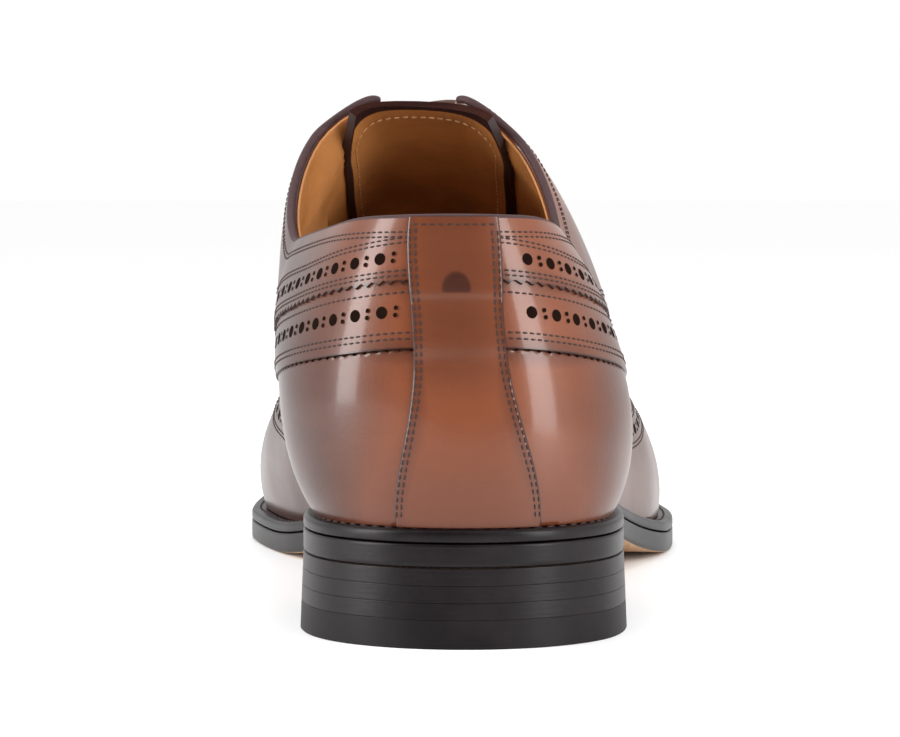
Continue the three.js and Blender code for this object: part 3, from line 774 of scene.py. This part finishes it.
def leather_wall(last, span, low, high, outer, inner, pitch, rows, follow, gimp_low=0.0, gimp_high=0.0):
    """A leather piece between two lines round the shoe, with its own thickness and cut edges."""
    first, final = span
    _, length = even_places(last, first, final, follow, 8)
    columns = max(8, int(length / pitch))
    places, length = even_places(last, first, final, follow, columns)
    section = section_of_wall(rows, 4)
    teeth = length / last.sizes.gimp_pitch
    tops, feet = last.skin(places, np.ones_like(places)), last.skin(places, 0 * places)
    rib_length = np.linalg.norm(tops - feet, axis=1)

    def shape(s, t):
        place = np.interp(s, np.linspace(0, 1, columns + 1), places)
        index = np.clip(np.rint(t * (len(section) - 1)).astype(int), 0, len(section) - 1)
        share, depth = section[index, 0], section[index, 1]
        bottom, top = low(place), high(place)
        tall = np.interp(place, places, rib_length)
        tooth = (np.abs(((s * teeth) % 1.0) - 0.5) * 2 - 0.5) * MM
        v = bottom + (top - bottom) * share
        free = rib_and_side(place)[0] < WING_PEAK - 0.1
        v = v + np.where((share > 0.985) & free, gimp_high, 0.0) * tooth / tall
        v = v + np.where((share < 0.015) & free, gimp_low, 0.0) * tooth / tall
        v = np.clip(v, 0.0, 1.0)
        on_ridge = (share == 1) & (top >= 1) & (rib_and_side(place)[0] > THROAT)
        depth = np.where(on_ridge & (depth < 0.5), 0.0, depth)
        off = outer(place) * (1 - depth) + inner * depth
        rims = np.minimum(np.where(top < 1, top - v, 1.0), np.where(bottom > 0, v - bottom, 1.0)) * tall
        return last.at(place, v, off), np.maximum(rims, 0.0)

    return shaped_grid(columns, len(section) - 1, shape)


def bottom_plate(last, profile, columns=520):
    """A plate of the sole's outline. Each row of its profile is a share of the way to the middle
    line, an inset in millimetres and a height."""

    def shape(s, t):
        place = (s * 2 - 1) * TIP
        index = np.rint(t * (len(profile) - 1)).astype(int)
        toward = np.array([row[0] for row in profile])[index]
        inset = np.array([row[1] for row in profile])[index] * MM
        edge = last.footprint(place, inset)
        other = last.footprint(-place, inset)
        flat = edge + (other - edge) * (toward / 2)[:, None]
        height = np.zeros(len(place))
        for k, row in enumerate(profile):
            at_row = index == k
            height[at_row] = row[2](flat[at_row, 1])
        points = last.to_frame(np.column_stack([flat, height]))
        return points, np.full(len(place), 0.01)

    bm = shaped_grid(columns, len(profile) - 1, shape)
    bmesh.ops.dissolve_degenerate(bm, edges=bm.edges[:], dist=1e-7)
    return bm


# How far along a path its direction is measured
NEAR_BY = 0.2 * MM


def trace(last, span, edge, distance, off, pitch):
    """Even steps along a line below an edge: points, directions along and out."""
    dense = np.linspace(span[0], span[1], 3000)
    v = np.clip(last.down_from(dense, edge(dense), distance), 0, 1)
    points = last.at(dense, v, off(dense) if callable(off) else off)
    walked = walk(points)
    count = max(2, int(walked[-1] / pitch))
    steps = (np.arange(count) + 0.5) * walked[-1] / count
    place = np.interp(steps, walked, dense)
    v = np.interp(steps, walked, v)
    ahead = on_path(steps + NEAR_BY, walked, points)
    behind = on_path(steps - NEAR_BY, walked, points)
    return on_path(steps, walked, points), unit(ahead - behind), last.outward(place, v)


def scatter(name, prototype, rows, finish, sink=0.0):
    """Copies one small shape along rows and joins the copies into one mesh."""
    base = np.array([vertex.co[:] for vertex in prototype.verts])
    prototype.verts.index_update()
    faces = [[vertex.index for vertex in face.verts] for face in prototype.faces]
    prototype.free()
    points, loops = [], []
    for centre, along, out in rows:
        side = unit(np.cross(out, along))
        out = unit(np.cross(along, side))
        for k in range(len(centre)):
            turned = base[:, :1] * along[k] + base[:, 1:2] * side[k] + base[:, 2:] * out[k]
            start = len(points) * len(base)
            points.append(centre[k] + turned - out[k] * sink)
            loops.extend([index + start for index in face] for face in faces)
    mesh = bpy.data.meshes.new(name)
    mesh.from_pydata(np.concatenate(points).tolist(), [], loops)
    keep_piece(name, mesh, [finish])


def small_stitch(length, radius):
    """One stitch: a rounded grain of thread."""
    bm = bmesh.new()
    bmesh.ops.create_uvsphere(bm, u_segments=6, v_segments=4, radius=1.0)
    bmesh.ops.rotate(bm, verts=bm.verts[:], matrix=Matrix.Rotation(math.pi / 2, 3, "Y"))
    bmesh.ops.scale(bm, verts=bm.verts[:], vec=(length / 2, radius, radius))
    return bm


def small_disc(radius, segments=14):
    """The shadow in a punched hole."""
    bm = bmesh.new()
    bmesh.ops.create_circle(bm, cap_ends=True, segments=segments, radius=radius)
    return bm


def tube(points, radius, segments, flat=1.0):
    """A round cord along a path."""
    points = np.asarray(points, float)
    along = unit(np.gradient(points, axis=0))
    side = unit(np.cross(along, np.array([0.0, 0.0, 1.0])))
    up = np.cross(side, along)

    def shape(s, t):
        k = np.clip(np.rint(s * (len(points) - 1)).astype(int), 0, len(points) - 1)
        angle = 2 * np.pi * t
        ring = np.cos(angle)[:, None] * side[k] * radius + np.sin(angle)[:, None] * up[k] * radius * flat
        return points[k] + ring, np.full(len(s), 0.01)

    return shaped_grid(len(points) - 1, segments, shape)


# Pieces


class SHOE_OT_sole(bpy.types.Operator):
    """Builds the outsole and the welt with their rounded edges"""

    bl_idname = "shoe.sole"
    bl_label = "Outsole and welt"

    def execute(self, context):
        last = Last(context.scene.shoe_sizes)
        under, top = last.underside, last.sole_top
        profile = [(1.0, 12, under), (0.5, 12, under), (0.0, 12, under), (0.0, 2.0, under)]
        profile += [(0.0, inset, lambda y, up=up: under(y) + up * MM) for inset, up in SOLE_EDGE_ROUND]
        profile += [(0.0, inset, lambda y, down=down: top(y) - down * MM) for inset, down in SOLE_TOP_ROUND]
        profile += [(0.0, 9, top), (1.0, 12, top)]
        bm = bottom_plate(last, profile)
        close_up(bm)
        for face in bm.faces:
            face.material_index = 1 if face.normal.z < -0.8 else 0
        finishes = ["sole_edge", "sole_bottom"]
        keep_piece("outsole_body", mesh_from(bm, "outsole_body"), finishes, ["outsole"])

        faces = {"low": last.welt_base, "high": last.welt_top}
        profile = [
            (0.0, inset, lambda y, face=faces[level], up=up: face(y) + up * MM)
            for inset, level, up in WELT_RING
        ]
        close_and_keep("welt_strip", bottom_plate(last, profile), ["sole_edge"], ["welt"])
        return {"FINISHED"}


# Inset and height in millimetres of the outsole's rounded lower and upper edges
SOLE_EDGE_ROUND = ((1.2, 0.0), (0.9, 0.0), (0.45, 0.12), (0.12, 0.45), (0.0, 0.9), (0.0, 1.2), (0.0, 2.4))
SOLE_TOP_ROUND = ((0.0, 1.2), (0.0, 0.6), (0.0, 0.4), (0.1, 0.15), (0.35, 0.0), (0.6, 0.0))

# Section of the welt: inset, the face it is measured from, and height over that face, in millimetres
WELT_RING = (
    (9.0, "low", 0.0), (0.6, "low", 0.0), (0.3, "low", 0.0), (0.05, "low", 0.2), (0.0, "low", 0.45),
    (0.0, "high", -1.1), (0.06, "high", -0.7), (0.3, "high", -0.25), (0.7, "high", -0.04),
    (1.1, "high", 0.0), (2.2, "high", 0.05), (9.0, "high", 0.0), (9.0, "low", 0.0),
)


class SHOE_OT_heel(bpy.types.Operator):
    """Builds the lifts of the heel and its top piece"""

    bl_idname = "shoe.heel"
    bl_label = "Heel"

    def execute(self, context):
        last = Last(context.scene.shoe_sizes)
        height = last.sizes.heel_height
        self.layer(last, "heel_top_piece", 0.0, TOP_PIECE_THICKNESS, "top_piece_rubber")
        lift = (height - TOP_PIECE_THICKNESS) / HEEL_LIFTS
        for k in range(HEEL_LIFTS):
            low = TOP_PIECE_THICKNESS + k * lift
            self.layer(last, f"heel_lift_{k + 1}", low, low + lift, "heel_leather")
        return {"FINISHED"}

    def layer(self, last, name, low, high, finish):
        """One layer of the heel, with a fine chamfer that shows where it meets the next."""

        def row(toward, inset, z):
            flare = -HEEL_FLARE * (1 - z / last.sizes.heel_height)
            return (toward, inset + flare, lambda y, z=z: np.full(np.shape(y), z))

        edge = HEEL_CHAMFER * MM
        profile = [row(1.0, 8, low), row(0.0, 8, low), row(0.0, HEEL_CHAMFER, low)]
        profile += [row(0.0, 0.0, low + share * edge) for share in (1.0, 2.5)]
        profile += [row(0.0, 0.0, high - share * edge) for share in (2.5, 1.0)]
        profile += [row(0.0, HEEL_CHAMFER, high), row(0.0, 8, high), row(1.0, 8, high)]
        bm = bottom_plate(last, profile)
        breast = (BREAST_AT - HEEL_CENTRE_AT) * last.length
        everything = bm.verts[:] + bm.edges[:] + bm.faces[:]
        bmesh.ops.bisect_plane(
            bm, geom=everything, dist=1e-7, plane_co=(0, breast, 0), plane_no=(0, 1, 0), clear_outer=True
        )
        close_and_keep(name + "_block", bm, [finish], [name])


# How far the heel spreads to the floor and how wide its layers are chamfered, in millimetres
HEEL_FLARE = 0.7
HEEL_CHAMFER = 0.07


class SHOE_OT_lining(bpy.types.Operator):
    """Builds the lining and the insole"""

    bl_idname = "shoe.lining"
    bl_label = "Lining and insole"

    def execute(self, context):
        last = Last(context.scene.shoe_sizes)

        bm = leather_wall(
            last, (-TIP, TIP), steady(0.0), steady(1.0), steady(-0.45 * MM),
            inner=-LINED_WALL, pitch=2.2 * MM, rows=24, follow=wing_edge,
        )
        close_and_keep("lining_wall", bm, ["lining_leather"])

        def sock(y):
            return last.seat(y) + INSOLE_THICKNESS

        inset = INSOLE_INSET
        profile = [(1.0, inset + 9, last.seat), (0.0, inset, last.seat)]
        profile += [(0.0, inset, lambda y: last.seat(y) + 2.6 * MM), (0.0, inset + 0.5, sock)]
        profile += [(0.3, inset, sock), (1.0, inset, sock)]
        bm = bottom_plate(last, profile, 300)
        close_and_keep("insole_sock", bm, ["lining_leather"], ["insole"])
        return {"FINISHED"}


# How far the insole stands in from the sole's edge, in millimetres
INSOLE_INSET = 6.2


class SHOE_OT_vamp(bpy.types.Operator):
    """Builds the vamp and the wing cap with its foxing"""

    bl_idname = "shoe.vamp"
    bl_label = "Vamp and wing cap"

    def execute(self, context):
        last = Last(context.scene.shoe_sizes)

        def vamp_low(place):
            return np.clip(wing_edge(place) - 0.02, 0, 0.98)

        def vamp_top(place):
            return np.minimum(1.0, quarter_edge(place) + 0.02)

        start = BAND_END - 0.3
        span = (start, 2 * TIP - start)
        bm = leather_wall(
            last, span, vamp_low, vamp_top, steady(0.0),
            inner=UNDER_LAYER, pitch=BROAD_PITCH, rows=26, follow=vamp_low,
        )
        close_and_keep("vamp", bm, ["upper_calf"], ["upper"])
        bm = leather_wall(
            last, (-TIP, TIP), steady(0.0), wing_edge, steady(last.sizes.layer),
            inner=ON_LAYER, pitch=FINE_PITCH, rows=15, follow=wing_edge, gimp_high=1.0,
        )
        close_and_keep("wing_cap", bm, ["upper_calf"])
        return {"FINISHED"}


class SHOE_OT_quarters(bpy.types.Operator):
    """Builds the quarters, the brogued band under them, the back strip and the collar edge"""

    bl_idname = "shoe.quarters"
    bl_label = "Quarters, band and collar"

    def execute(self, context):
        last = Last(context.scene.shoe_sizes)

        layer = last.sizes.layer

        def band_top(place):
            return quarter_edge(place) + 0.02

        bm = leather_wall(
            last, (-BAND_END, BAND_END), wing_edge, band_top, steady(2 * layer),
            inner=ON_LAYER, pitch=0.55 * MM, rows=9, follow=wing_edge,
        )
        close_and_keep("brogued_band", bm, ["upper_calf"])
        for side, name in ((1, "quarter_outer_side"), (-1, "quarter_inner_side")):
            near, far = 0.6 * STRIP_EDGE, THROAT
            span = (near, far) if side > 0 else (-far, -near)
            bm = leather_wall(
                last, span, quarter_edge, steady(1.0), steady(3 * layer),
                inner=UNDER_LAYER, pitch=0.55 * MM, rows=22, follow=quarter_edge, gimp_low=1.0,
            )
            close_and_keep(name, bm, ["upper_calf"])
        self.back_strip(last)
        self.collar(last)
        return {"FINISHED"}

    def back_strip(self, last):
        """A strip down the heel back, over the layers under it."""
        layer = last.sizes.layer

        def shape(s, t):
            v = t
            place = (s * 2 - 1) * strip_half(v)
            depth = np.where(np.abs(s - 0.5) > 0.496, 0.8, 0.0)
            off = strip_under(layer, v) + STRIP_THICKNESS * (1 - depth)
            rims = np.minimum(s, 1 - s) * 22 * MM
            return last.at(place, v, off), rims

        bm = shaped_grid(60, 120, shape)
        bmesh.ops.solidify(bm, geom=bm.faces[:], thickness=STRIP_THICKNESS)
        close_and_keep("back_strip", bm, ["upper_calf"])

    def collar(self, last):
        """The rolled edge of the collar, from facing to facing round the heel back."""
        places = np.linspace(-FACING_TOP, FACING_TOP, 340)
        points = last.at(places, np.ones_like(places), 0.85 * MM)
        bm = tube(points, 0.95 * MM, segments=12)
        close_and_keep("collar_edge", bm, ["collar_piping"])


class SHOE_OT_tongue(bpy.types.Operator):
    """Builds the tongue with its lining, and the lace through the eyelets"""

    bl_idname = "shoe.tongue"
    bl_label = "Tongue and lace"

    def execute(self, context):
        last = Last(context.scene.shoe_sizes)
        self.tongue(last)
        self.lace(last)
        return {"FINISHED"}

    def tongue(self, last):
        """The tongue: two faces of rows from side to side, a thickness apart."""
        ribs = np.linspace(THROAT + 0.3, FACING_TOP, 60)
        final = TONGUE_COLUMNS - 1
        ring_length = 2 * TONGUE_COLUMNS
        across = np.linspace(0, 1, TONGUE_COLUMNS)

        def face(depth):
            rows = []
            for r in ribs:
                medial = [last.at(-r, v, -depth) for v in (0.75, 0.875, 0.97)]
                lateral = [last.at(r, v, -depth) for v in (0.97, 0.875, 0.75)]
                knots = np.array(medial + lateral).reshape(-1, 3)
                row = on_path(across, np.linspace(0, 1, len(knots)), knots)
                rows.append(soften(row, 6))
            rows = np.array(rows)
            step = unit(rows[-1] - rows[-2])
            reach = TONGUE_SIDE_REACH + TONGUE_CROWN * np.sin(np.pi * across)
            grown = [rows[-1] + step * reach[:, None] * share for share in (0.25, 0.5, 0.75, 0.94, 1.0)]
            return rounded_end(np.concatenate([rows, np.array(grown)]))

        front, back = face(TONGUE_FRONT), face(TONGUE_BACK)
        count = len(front) - 1
        self.tongue_stitches(back)

        def shape(s, t):
            i = np.rint(s * count).astype(int)
            ring = np.rint(t * ring_length).astype(int) % ring_length
            j = np.where(ring <= final, ring, ring_length - 1 - ring)
            points = np.where((ring <= final)[:, None], front[i, j], back[i, j])
            rims = np.minimum(np.minimum(j, final - j), count - i) * 1.5 * MM
            return points, rims

        bm = shaped_grid(count, ring_length, shape)
        close_up(bm)
        for side in bm.faces:
            side.material_index = 1 if side.normal.y < 0 and side.normal.z < 0.35 else 0
        finishes = ["upper_calf", "tongue_lining"]
        keep_piece("tongue_body", mesh_from(bm, "tongue_body"), finishes, ["tongue"])

    def tongue_stitches(self, back):
        """A pale row of stitches round the lining of the tongue, inside its turned edge."""
        last_row, far = len(back) - 5, back.shape[1] - 4
        path = np.concatenate([back[20:last_row, 3], back[last_row, 4:far], back[20:last_row, far][::-1]])
        path = soften(path, 4)
        walked = walk(path)
        steps = np.arange(1, int(walked[-1] / (2 * MM))) * 2 * MM
        centre = on_path(steps, walked, path)
        along = unit(on_path(steps + 3e-4, walked, path) - centre)
        inward = np.array([0.0, -0.8, -0.6])
        out = unit(inward - along * (along @ inward)[:, None])
        rows = [(centre + 0.15 * MM * out, along, out)]
        scatter("tongue_stitches", small_stitch(1.5 * MM, 0.22 * MM), rows, "pale_thread")

    def lace(self, last):
        """The lace, from eyelet to eyelet over the gap."""
        radius = last.sizes.lace_radius
        over = 3 * last.sizes.layer + radius + 0.4 * MM
        joined = bmesh.new()
        for start, finish, lift in lace_runs():
            points = self.lace_path(last, start, finish, over, lift)
            run = tube(points, radius, segments=12, flat=0.8)
            close_up(run)
            mesh = mesh_from(run, "run")
            joined.from_mesh(mesh)
            bpy.data.meshes.remove(mesh)
        mesh = mesh_from(joined, "lace_crossings")
        keep_piece("lace_crossings", mesh, ["lace_cotton"], ["laces"])

    def lace_path(self, last, start, finish, over, lift):
        """From under one eyelet, over the gap and down through the other."""
        top = np.ones(1)
        knots = []
        for near, far in ((start, finish), (finish, start)):
            place = np.array([near])
            v = last.down_from(place, top, EYELET_MARGIN)
            third = near * 0.7 + math.copysign(abs(far), near) * 0.3
            knots.append([
                last.at(place, v, -1.0 * MM), last.at(place, v, over - 0.4 * MM),
                last.at(np.array([third]), top, over + lift),
            ])
        return soft_path(np.concatenate(knots[0] + knots[1][::-1]), 60)


# Depths of the tongue's two faces under the skin, the reach of its end past the top rib at the
# sides and what the middle reaches more, the length over which the end is rounded, and the
# breadth of its turned edge
TONGUE_FRONT = 1.8 * MM
TONGUE_BACK = 3.8 * MM
TONGUE_SIDE_REACH = 3.5 * MM
TONGUE_CROWN = 9.5 * MM
TONGUE_ROUND = 19 * MM
TONGUE_EDGE = 2.4 * MM
TONGUE_COLUMNS = 31

# Distance of the eyelets from the edge of the facing, and how many stand along it
EYELET_MARGIN = 9 * MM
EYELET_PAIRS = 5


def rounded_end(rows):
    """Draws in the last rows of the tongue, so that its end is round."""
    down = np.linalg.norm(rows - rows[-1:], axis=2)[:, rows.shape[1] // 2] / TONGUE_ROUND
    share = np.linspace(0, 1, rows.shape[1])
    for i, near in enumerate(np.clip(down, 0, 1)):
        width = 0.36 + 0.64 * math.sqrt(1 - (1 - near) ** 2)
        drawn = 0.5 + (share - 0.5) * width
        rows[i] = on_path(drawn, share, rows[i])
    return soften(rows, 10)


def soft_path(knots, count):
    """A smooth path through a few points."""
    return soften(on_path(np.linspace(0, 1, count), np.linspace(0, 1, len(knots)), knots), 14)


def eyelet_ribs():
    """Rib numbers of the eyelets, from the throat up."""
    return np.linspace(THROAT - 0.6, FACING_TOP + 0.25, EYELET_PAIRS)


def lace_runs():
    """Each run of the lace from one eyelet to another, with the height it gains in the middle."""
    ribs = eyelet_ribs()
    runs = [(ribs[0], -ribs[0], 0.0)]
    for low, high in zip(ribs[:-1], ribs[1:]):
        runs.append((low, -high, 0.2 * MM))
        runs.append((-low, high, 1.5 * MM))
    return runs


class SHOE_OT_stitches(bpy.types.Operator):
    """Sews the rows of stitches along the edges of the pieces and round the welt"""

    bl_idname = "shoe.stitches"
    bl_label = "Stitches"

    def execute(self, context):
        last = Last(context.scene.shoe_sizes)
        pitch = last.sizes.stitch_pitch
        lay = last.sizes.layer
        one = steady(1.0)
        rows = []
        near = 0.87 * STRIP_EDGE
        side_spans = ((near, THROAT - 0.15), (-THROAT + 0.15, -near))
        for span in side_spans:
            for distance in EDGE_ROWS:
                rows.append(trace(last, span, quarter_edge, -distance, 3 * lay, pitch))
        for span in ((-FACING_TOP, -near), (near, FACING_TOP)):
            for distance in COLLAR_ROWS:
                rows.append(trace(last, span, one, distance, 3 * lay, pitch))
        rows.append(trace(last, (-near, near), one, 1.6 * MM, 3 * lay + STRIP_THICKNESS, pitch))
        near = 0.75 * STRIP_EDGE
        for span in ((near, BAND_END), (-BAND_END, -near)):
            for share in BAND_ROWS:
                rows.append(trace(last, span, band_line(share), 0.0, 2 * lay, pitch))
        for span in WING_SPANS:
            for distance in EDGE_ROWS:
                rows.append(trace(last, span, wing_edge, distance, lay, pitch))
        rows += self.strip_rows(last, pitch)
        stitch = small_stitch(0.8 * pitch, 0.24 * MM)
        scatter("seam_stitches", stitch, rows, "stitch_thread", 0.02 * MM)
        self.welt_stitches(last)
        return {"FINISHED"}

    def strip_rows(self, last, pitch):
        """Double rows up both edges of the back strip."""
        rows = []
        for side in (-1, 1):
            for distance in STRIP_ROWS:
                v = np.linspace(0.03, 0.965, 2000)
                width = np.linalg.norm(last.at(strip_half(v), v) - last.at(0 * v, v), axis=1)
                place = side * strip_half(v) * (1 - distance / width)
                points = last.at(place, v, strip_under(last.sizes.layer, v) + STRIP_THICKNESS)
                walked = walk(points)
                steps = np.arange(int(walked[-1] / pitch)) * pitch + pitch / 2
                centre = on_path(steps, walked, points)
                along = unit(on_path(steps + NEAR_BY, walked, points) - centre)
                out = last.outward(np.interp(steps, walked, place), np.interp(steps, walked, v))
                rows.append((centre, along, out))
        return rows

    def welt_stitches(self, last):
        """One row of coarser stitches on top of the welt."""
        places = np.linspace(-TIP + 0.01, TIP - 0.01, 6000)
        flat = last.footprint(places, 2.3 * MM)
        points = last.to_frame(np.column_stack([flat, last.welt_top(flat[:, 1]) + 0.05 * MM]))
        walked = walk(points)
        steps = np.arange(int(walked[-1] / WELT_STITCH_PITCH)) * WELT_STITCH_PITCH
        centre = on_path(steps, walked, points)
        along = unit(on_path(steps + NEAR_BY, walked, points) - centre)
        out = np.tile([0.0, 0.0, 1.0], (len(steps), 1))
        stitch = small_stitch(2.6 * MM, 0.4 * MM)
        scatter("welt_stitches", stitch, [(centre, along, out)], "stitch_thread", 0.1 * MM)


# Distances of the stitch rows from the cut edges, from the collar and from the back strip's edge
EDGE_ROWS = (1.3 * MM, 2.3 * MM, 8.2 * MM, 9.2 * MM)
COLLAR_ROWS = (3.0 * MM, 4.0 * MM)
STRIP_ROWS = (0.6 * MM, 1.6 * MM)
WELT_STITCH_PITCH = 3.2 * MM

# Shares of the brogued band's height at which its stitch rows run
BAND_ROWS = (0.15, 0.24, 0.84)


class SHOE_OT_holes(bpy.types.Operator):
    """Lays dark discs of painted shadow in the brogue holes and the eyelets"""

    bl_idname = "shoe.holes"
    bl_label = "Brogue holes"

    def execute(self, context):
        last = Last(context.scene.shoe_sizes)
        lay = last.sizes.layer
        pitch = last.sizes.hole_pitch
        lift = 0.05 * MM
        large, small = [], []
        lines = [
            ((STRIP_EDGE + 0.12, THROAT - 0.3), quarter_edge, -HOLE_MARGIN, 3 * lay),
            ((-THROAT + 0.3, -STRIP_EDGE - 0.12), quarter_edge, -HOLE_MARGIN, 3 * lay),
            ((STRIP_EDGE, BAND_END - 0.1), band_line(0.56), 0.0, 2 * lay),
            ((-BAND_END + 0.1, -STRIP_EDGE), band_line(0.56), 0.0, 2 * lay),
        ]
        lines += [(span, wing_edge, HOLE_MARGIN, lay) for span in WING_SPANS]
        for span, edge, distance, off in lines:
            large.append(trace(last, span, edge, distance, off + lift, pitch))
            for apart in (-PINHOLES_APART / 2, PINHOLES_APART / 2):
                centre, along, out = trace(last, span, edge, distance + apart, off + lift, pitch)
                small.append((centre + along * pitch / 2, along, out))
        radius = last.sizes.hole_radius
        scatter("brogue_holes", small_disc(radius), large, "hole_shadow")
        scatter("brogue_pinholes", small_disc(0.38 * radius, 8), small, "hole_shadow")
        ribs = eyelet_ribs()
        places = np.concatenate([ribs, -ribs])
        v = last.down_from(places, np.ones_like(places), EYELET_MARGIN)
        centre = last.at(places, v, 3 * lay + lift)
        along = unit(last.at(places, v - 0.02) - last.at(places, v))
        row = (centre, along, last.outward(places, v))
        scatter("eyelet_holes", small_disc(1.7 * MM, 20), [row], "hole_shadow")
        return {"FINISHED"}


# Distance of the large holes from the edge, and from pinhole to pinhole of a pair
HOLE_MARGIN = 5.2 * MM
PINHOLES_APART = 1.5 * MM


def facing(place, target):
    """The turn that makes a lamp or camera at a place look at a target."""
    return (Vector(target) - Vector(place)).to_track_quat("-Z", "Y").to_euler()


# Place and target of the camera in metres, and its lens in millimetres
CAMERA_PLACE = (-0.0232, -0.795, 0.1033)
CAMERA_TARGET = (-0.003, 0.0, 0.0555)
CAMERA_LENS = 150


class SHOE_OT_stage(bpy.types.Operator):
    """Sets up the floor, the lights and the camera"""

    bl_idname = "shoe.stage"
    bl_label = "Studio"

    def execute(self, context):
        scene = context.scene
        bm = bmesh.new()
        bmesh.ops.create_grid(bm, x_segments=1, y_segments=1, size=6.0)
        mesh = mesh_from(bm, "studio_floor")
        mesh.materials.append(finish_named("floor"))
        floor = bpy.data.objects.new("studio_floor", mesh)
        scene.collection.objects.link(floor)
        self.dark_card(scene)

        world = bpy.data.worlds.new("studio_world")
        world.use_nodes = True
        background = world.node_tree.nodes["Background"].inputs
        background["Color"].default_value = (1.0, 1.0, 1.0, 1.0)
        background["Strength"].default_value = 1.0
        scene.world = world
        scene.view_settings.view_transform = "Standard"
        for name, place, target, size, watts in STUDIO_LIGHTS:
            light = bpy.data.lights.new(name, "AREA")
            light.shape = "RECTANGLE"
            light.size, light.size_y = size
            light.energy = watts
            lamp = bpy.data.objects.new(name, light)
            scene.collection.objects.link(lamp)
            lamp.location = place
            lamp.rotation_euler = facing(place, target)

        data = bpy.data.cameras.new("studio_camera")
        camera = bpy.data.objects.new("studio_camera", data)
        scene.collection.objects.link(camera)
        camera.location = CAMERA_PLACE
        camera.rotation_euler = facing(CAMERA_PLACE, CAMERA_TARGET)
        data.lens = CAMERA_LENS
        data.clip_start = 0.01
        scene.camera = camera
        return {"FINISHED"}


    def dark_card(self, scene):
        """A dark card behind the camera. Only the shine of the leather shows it."""
        bm = bmesh.new()
        bmesh.ops.create_grid(bm, x_segments=1, y_segments=1, size=0.5)
        bmesh.ops.scale(bm, verts=bm.verts[:], vec=(*CARD_SIDES, 1.0))
        bmesh.ops.rotate(bm, verts=bm.verts[:], matrix=Matrix.Rotation(math.pi / 2, 3, "X"))
        bmesh.ops.translate(bm, verts=bm.verts[:], vec=CARD_PLACE)
        mesh = mesh_from(bm, "dark_card")
        mesh.materials.append(finish_named("dark_cloth"))
        card = bpy.data.objects.new("dark_card", mesh)
        scene.collection.objects.link(card)
        card.visible_camera = False
        card.visible_diffuse = False
        card.visible_shadow = False


# Width, height and middle of the dark card, in metres
CARD_SIDES = (7.0, 3.0)
CARD_PLACE = (0.0, -0.9, 1.49)

# Name, place, target, sides in metres and power of each lamp
STUDIO_LIGHTS = (
    ("softbox_left", (-0.95, -0.2, 0.4), (0, 0.0, 0.05), (0.34, 0.9), 12),
    ("softbox_right", (0.85, -0.55, 0.4), (0, 0.0, 0.05), (0.4, 0.9), 12),
    ("softbox_top", (0.0, 0.25, 1.1), (0, 0.1, 0.0), (0.9, 0.9), 3),
)

# Places between which the wing cap's edge carries stitches and holes
WING_SPANS = ((BAND_END + 0.1, WING_PEAK - 0.3), (-WING_PEAK + 0.3, -BAND_END - 0.1))

PIECES = (
    SHOE_OT_sole,
    SHOE_OT_heel,
    SHOE_OT_lining,
    SHOE_OT_vamp,
    SHOE_OT_quarters,
    SHOE_OT_tongue,
    SHOE_OT_stitches,
    SHOE_OT_holes,
    SHOE_OT_stage,
)


class SHOE_PT_panel(bpy.types.Panel):
    """Lists the shoe's sizes, colours and pieces in the sidebar"""

    bl_label = "Shoe"
    bl_idname = "SHOE_PT_panel"
    bl_space_type = "VIEW_3D"
    bl_region_type = "UI"
    bl_category = "Shoe"

    def draw(self, context):
        layout = self.layout
        for group in (context.scene.shoe_sizes, context.scene.shoe_colours):
            for name in group.bl_rna.properties.keys():
                if name not in ("rna_type", "name"):
                    layout.prop(group, name)
        for piece in PIECES:
            layout.operator(piece.bl_idname)


CLASSES = (ShoeSizes, ShoeColours) + PIECES + (SHOE_PT_panel,)


def register():
    """Registers the classes and adds the settings to the scene."""
    for item in CLASSES:
        bpy.utils.register_class(item)
    bpy.types.Scene.shoe_sizes = PointerProperty(type=ShoeSizes)
    bpy.types.Scene.shoe_colours = PointerProperty(type=ShoeColours)


def unregister():
    """Takes back what register added."""
    del bpy.types.Scene.shoe_colours
    del bpy.types.Scene.shoe_sizes
    for item in reversed(CLASSES):
        bpy.utils.unregister_class(item)


def main():
    """Builds the whole shoe and its studio."""
    register()
    for piece in PIECES:
        group, name = piece.bl_idname.split(".")
        getattr(getattr(bpy.ops, group), name)()


if __name__ == "__main__":
    main()
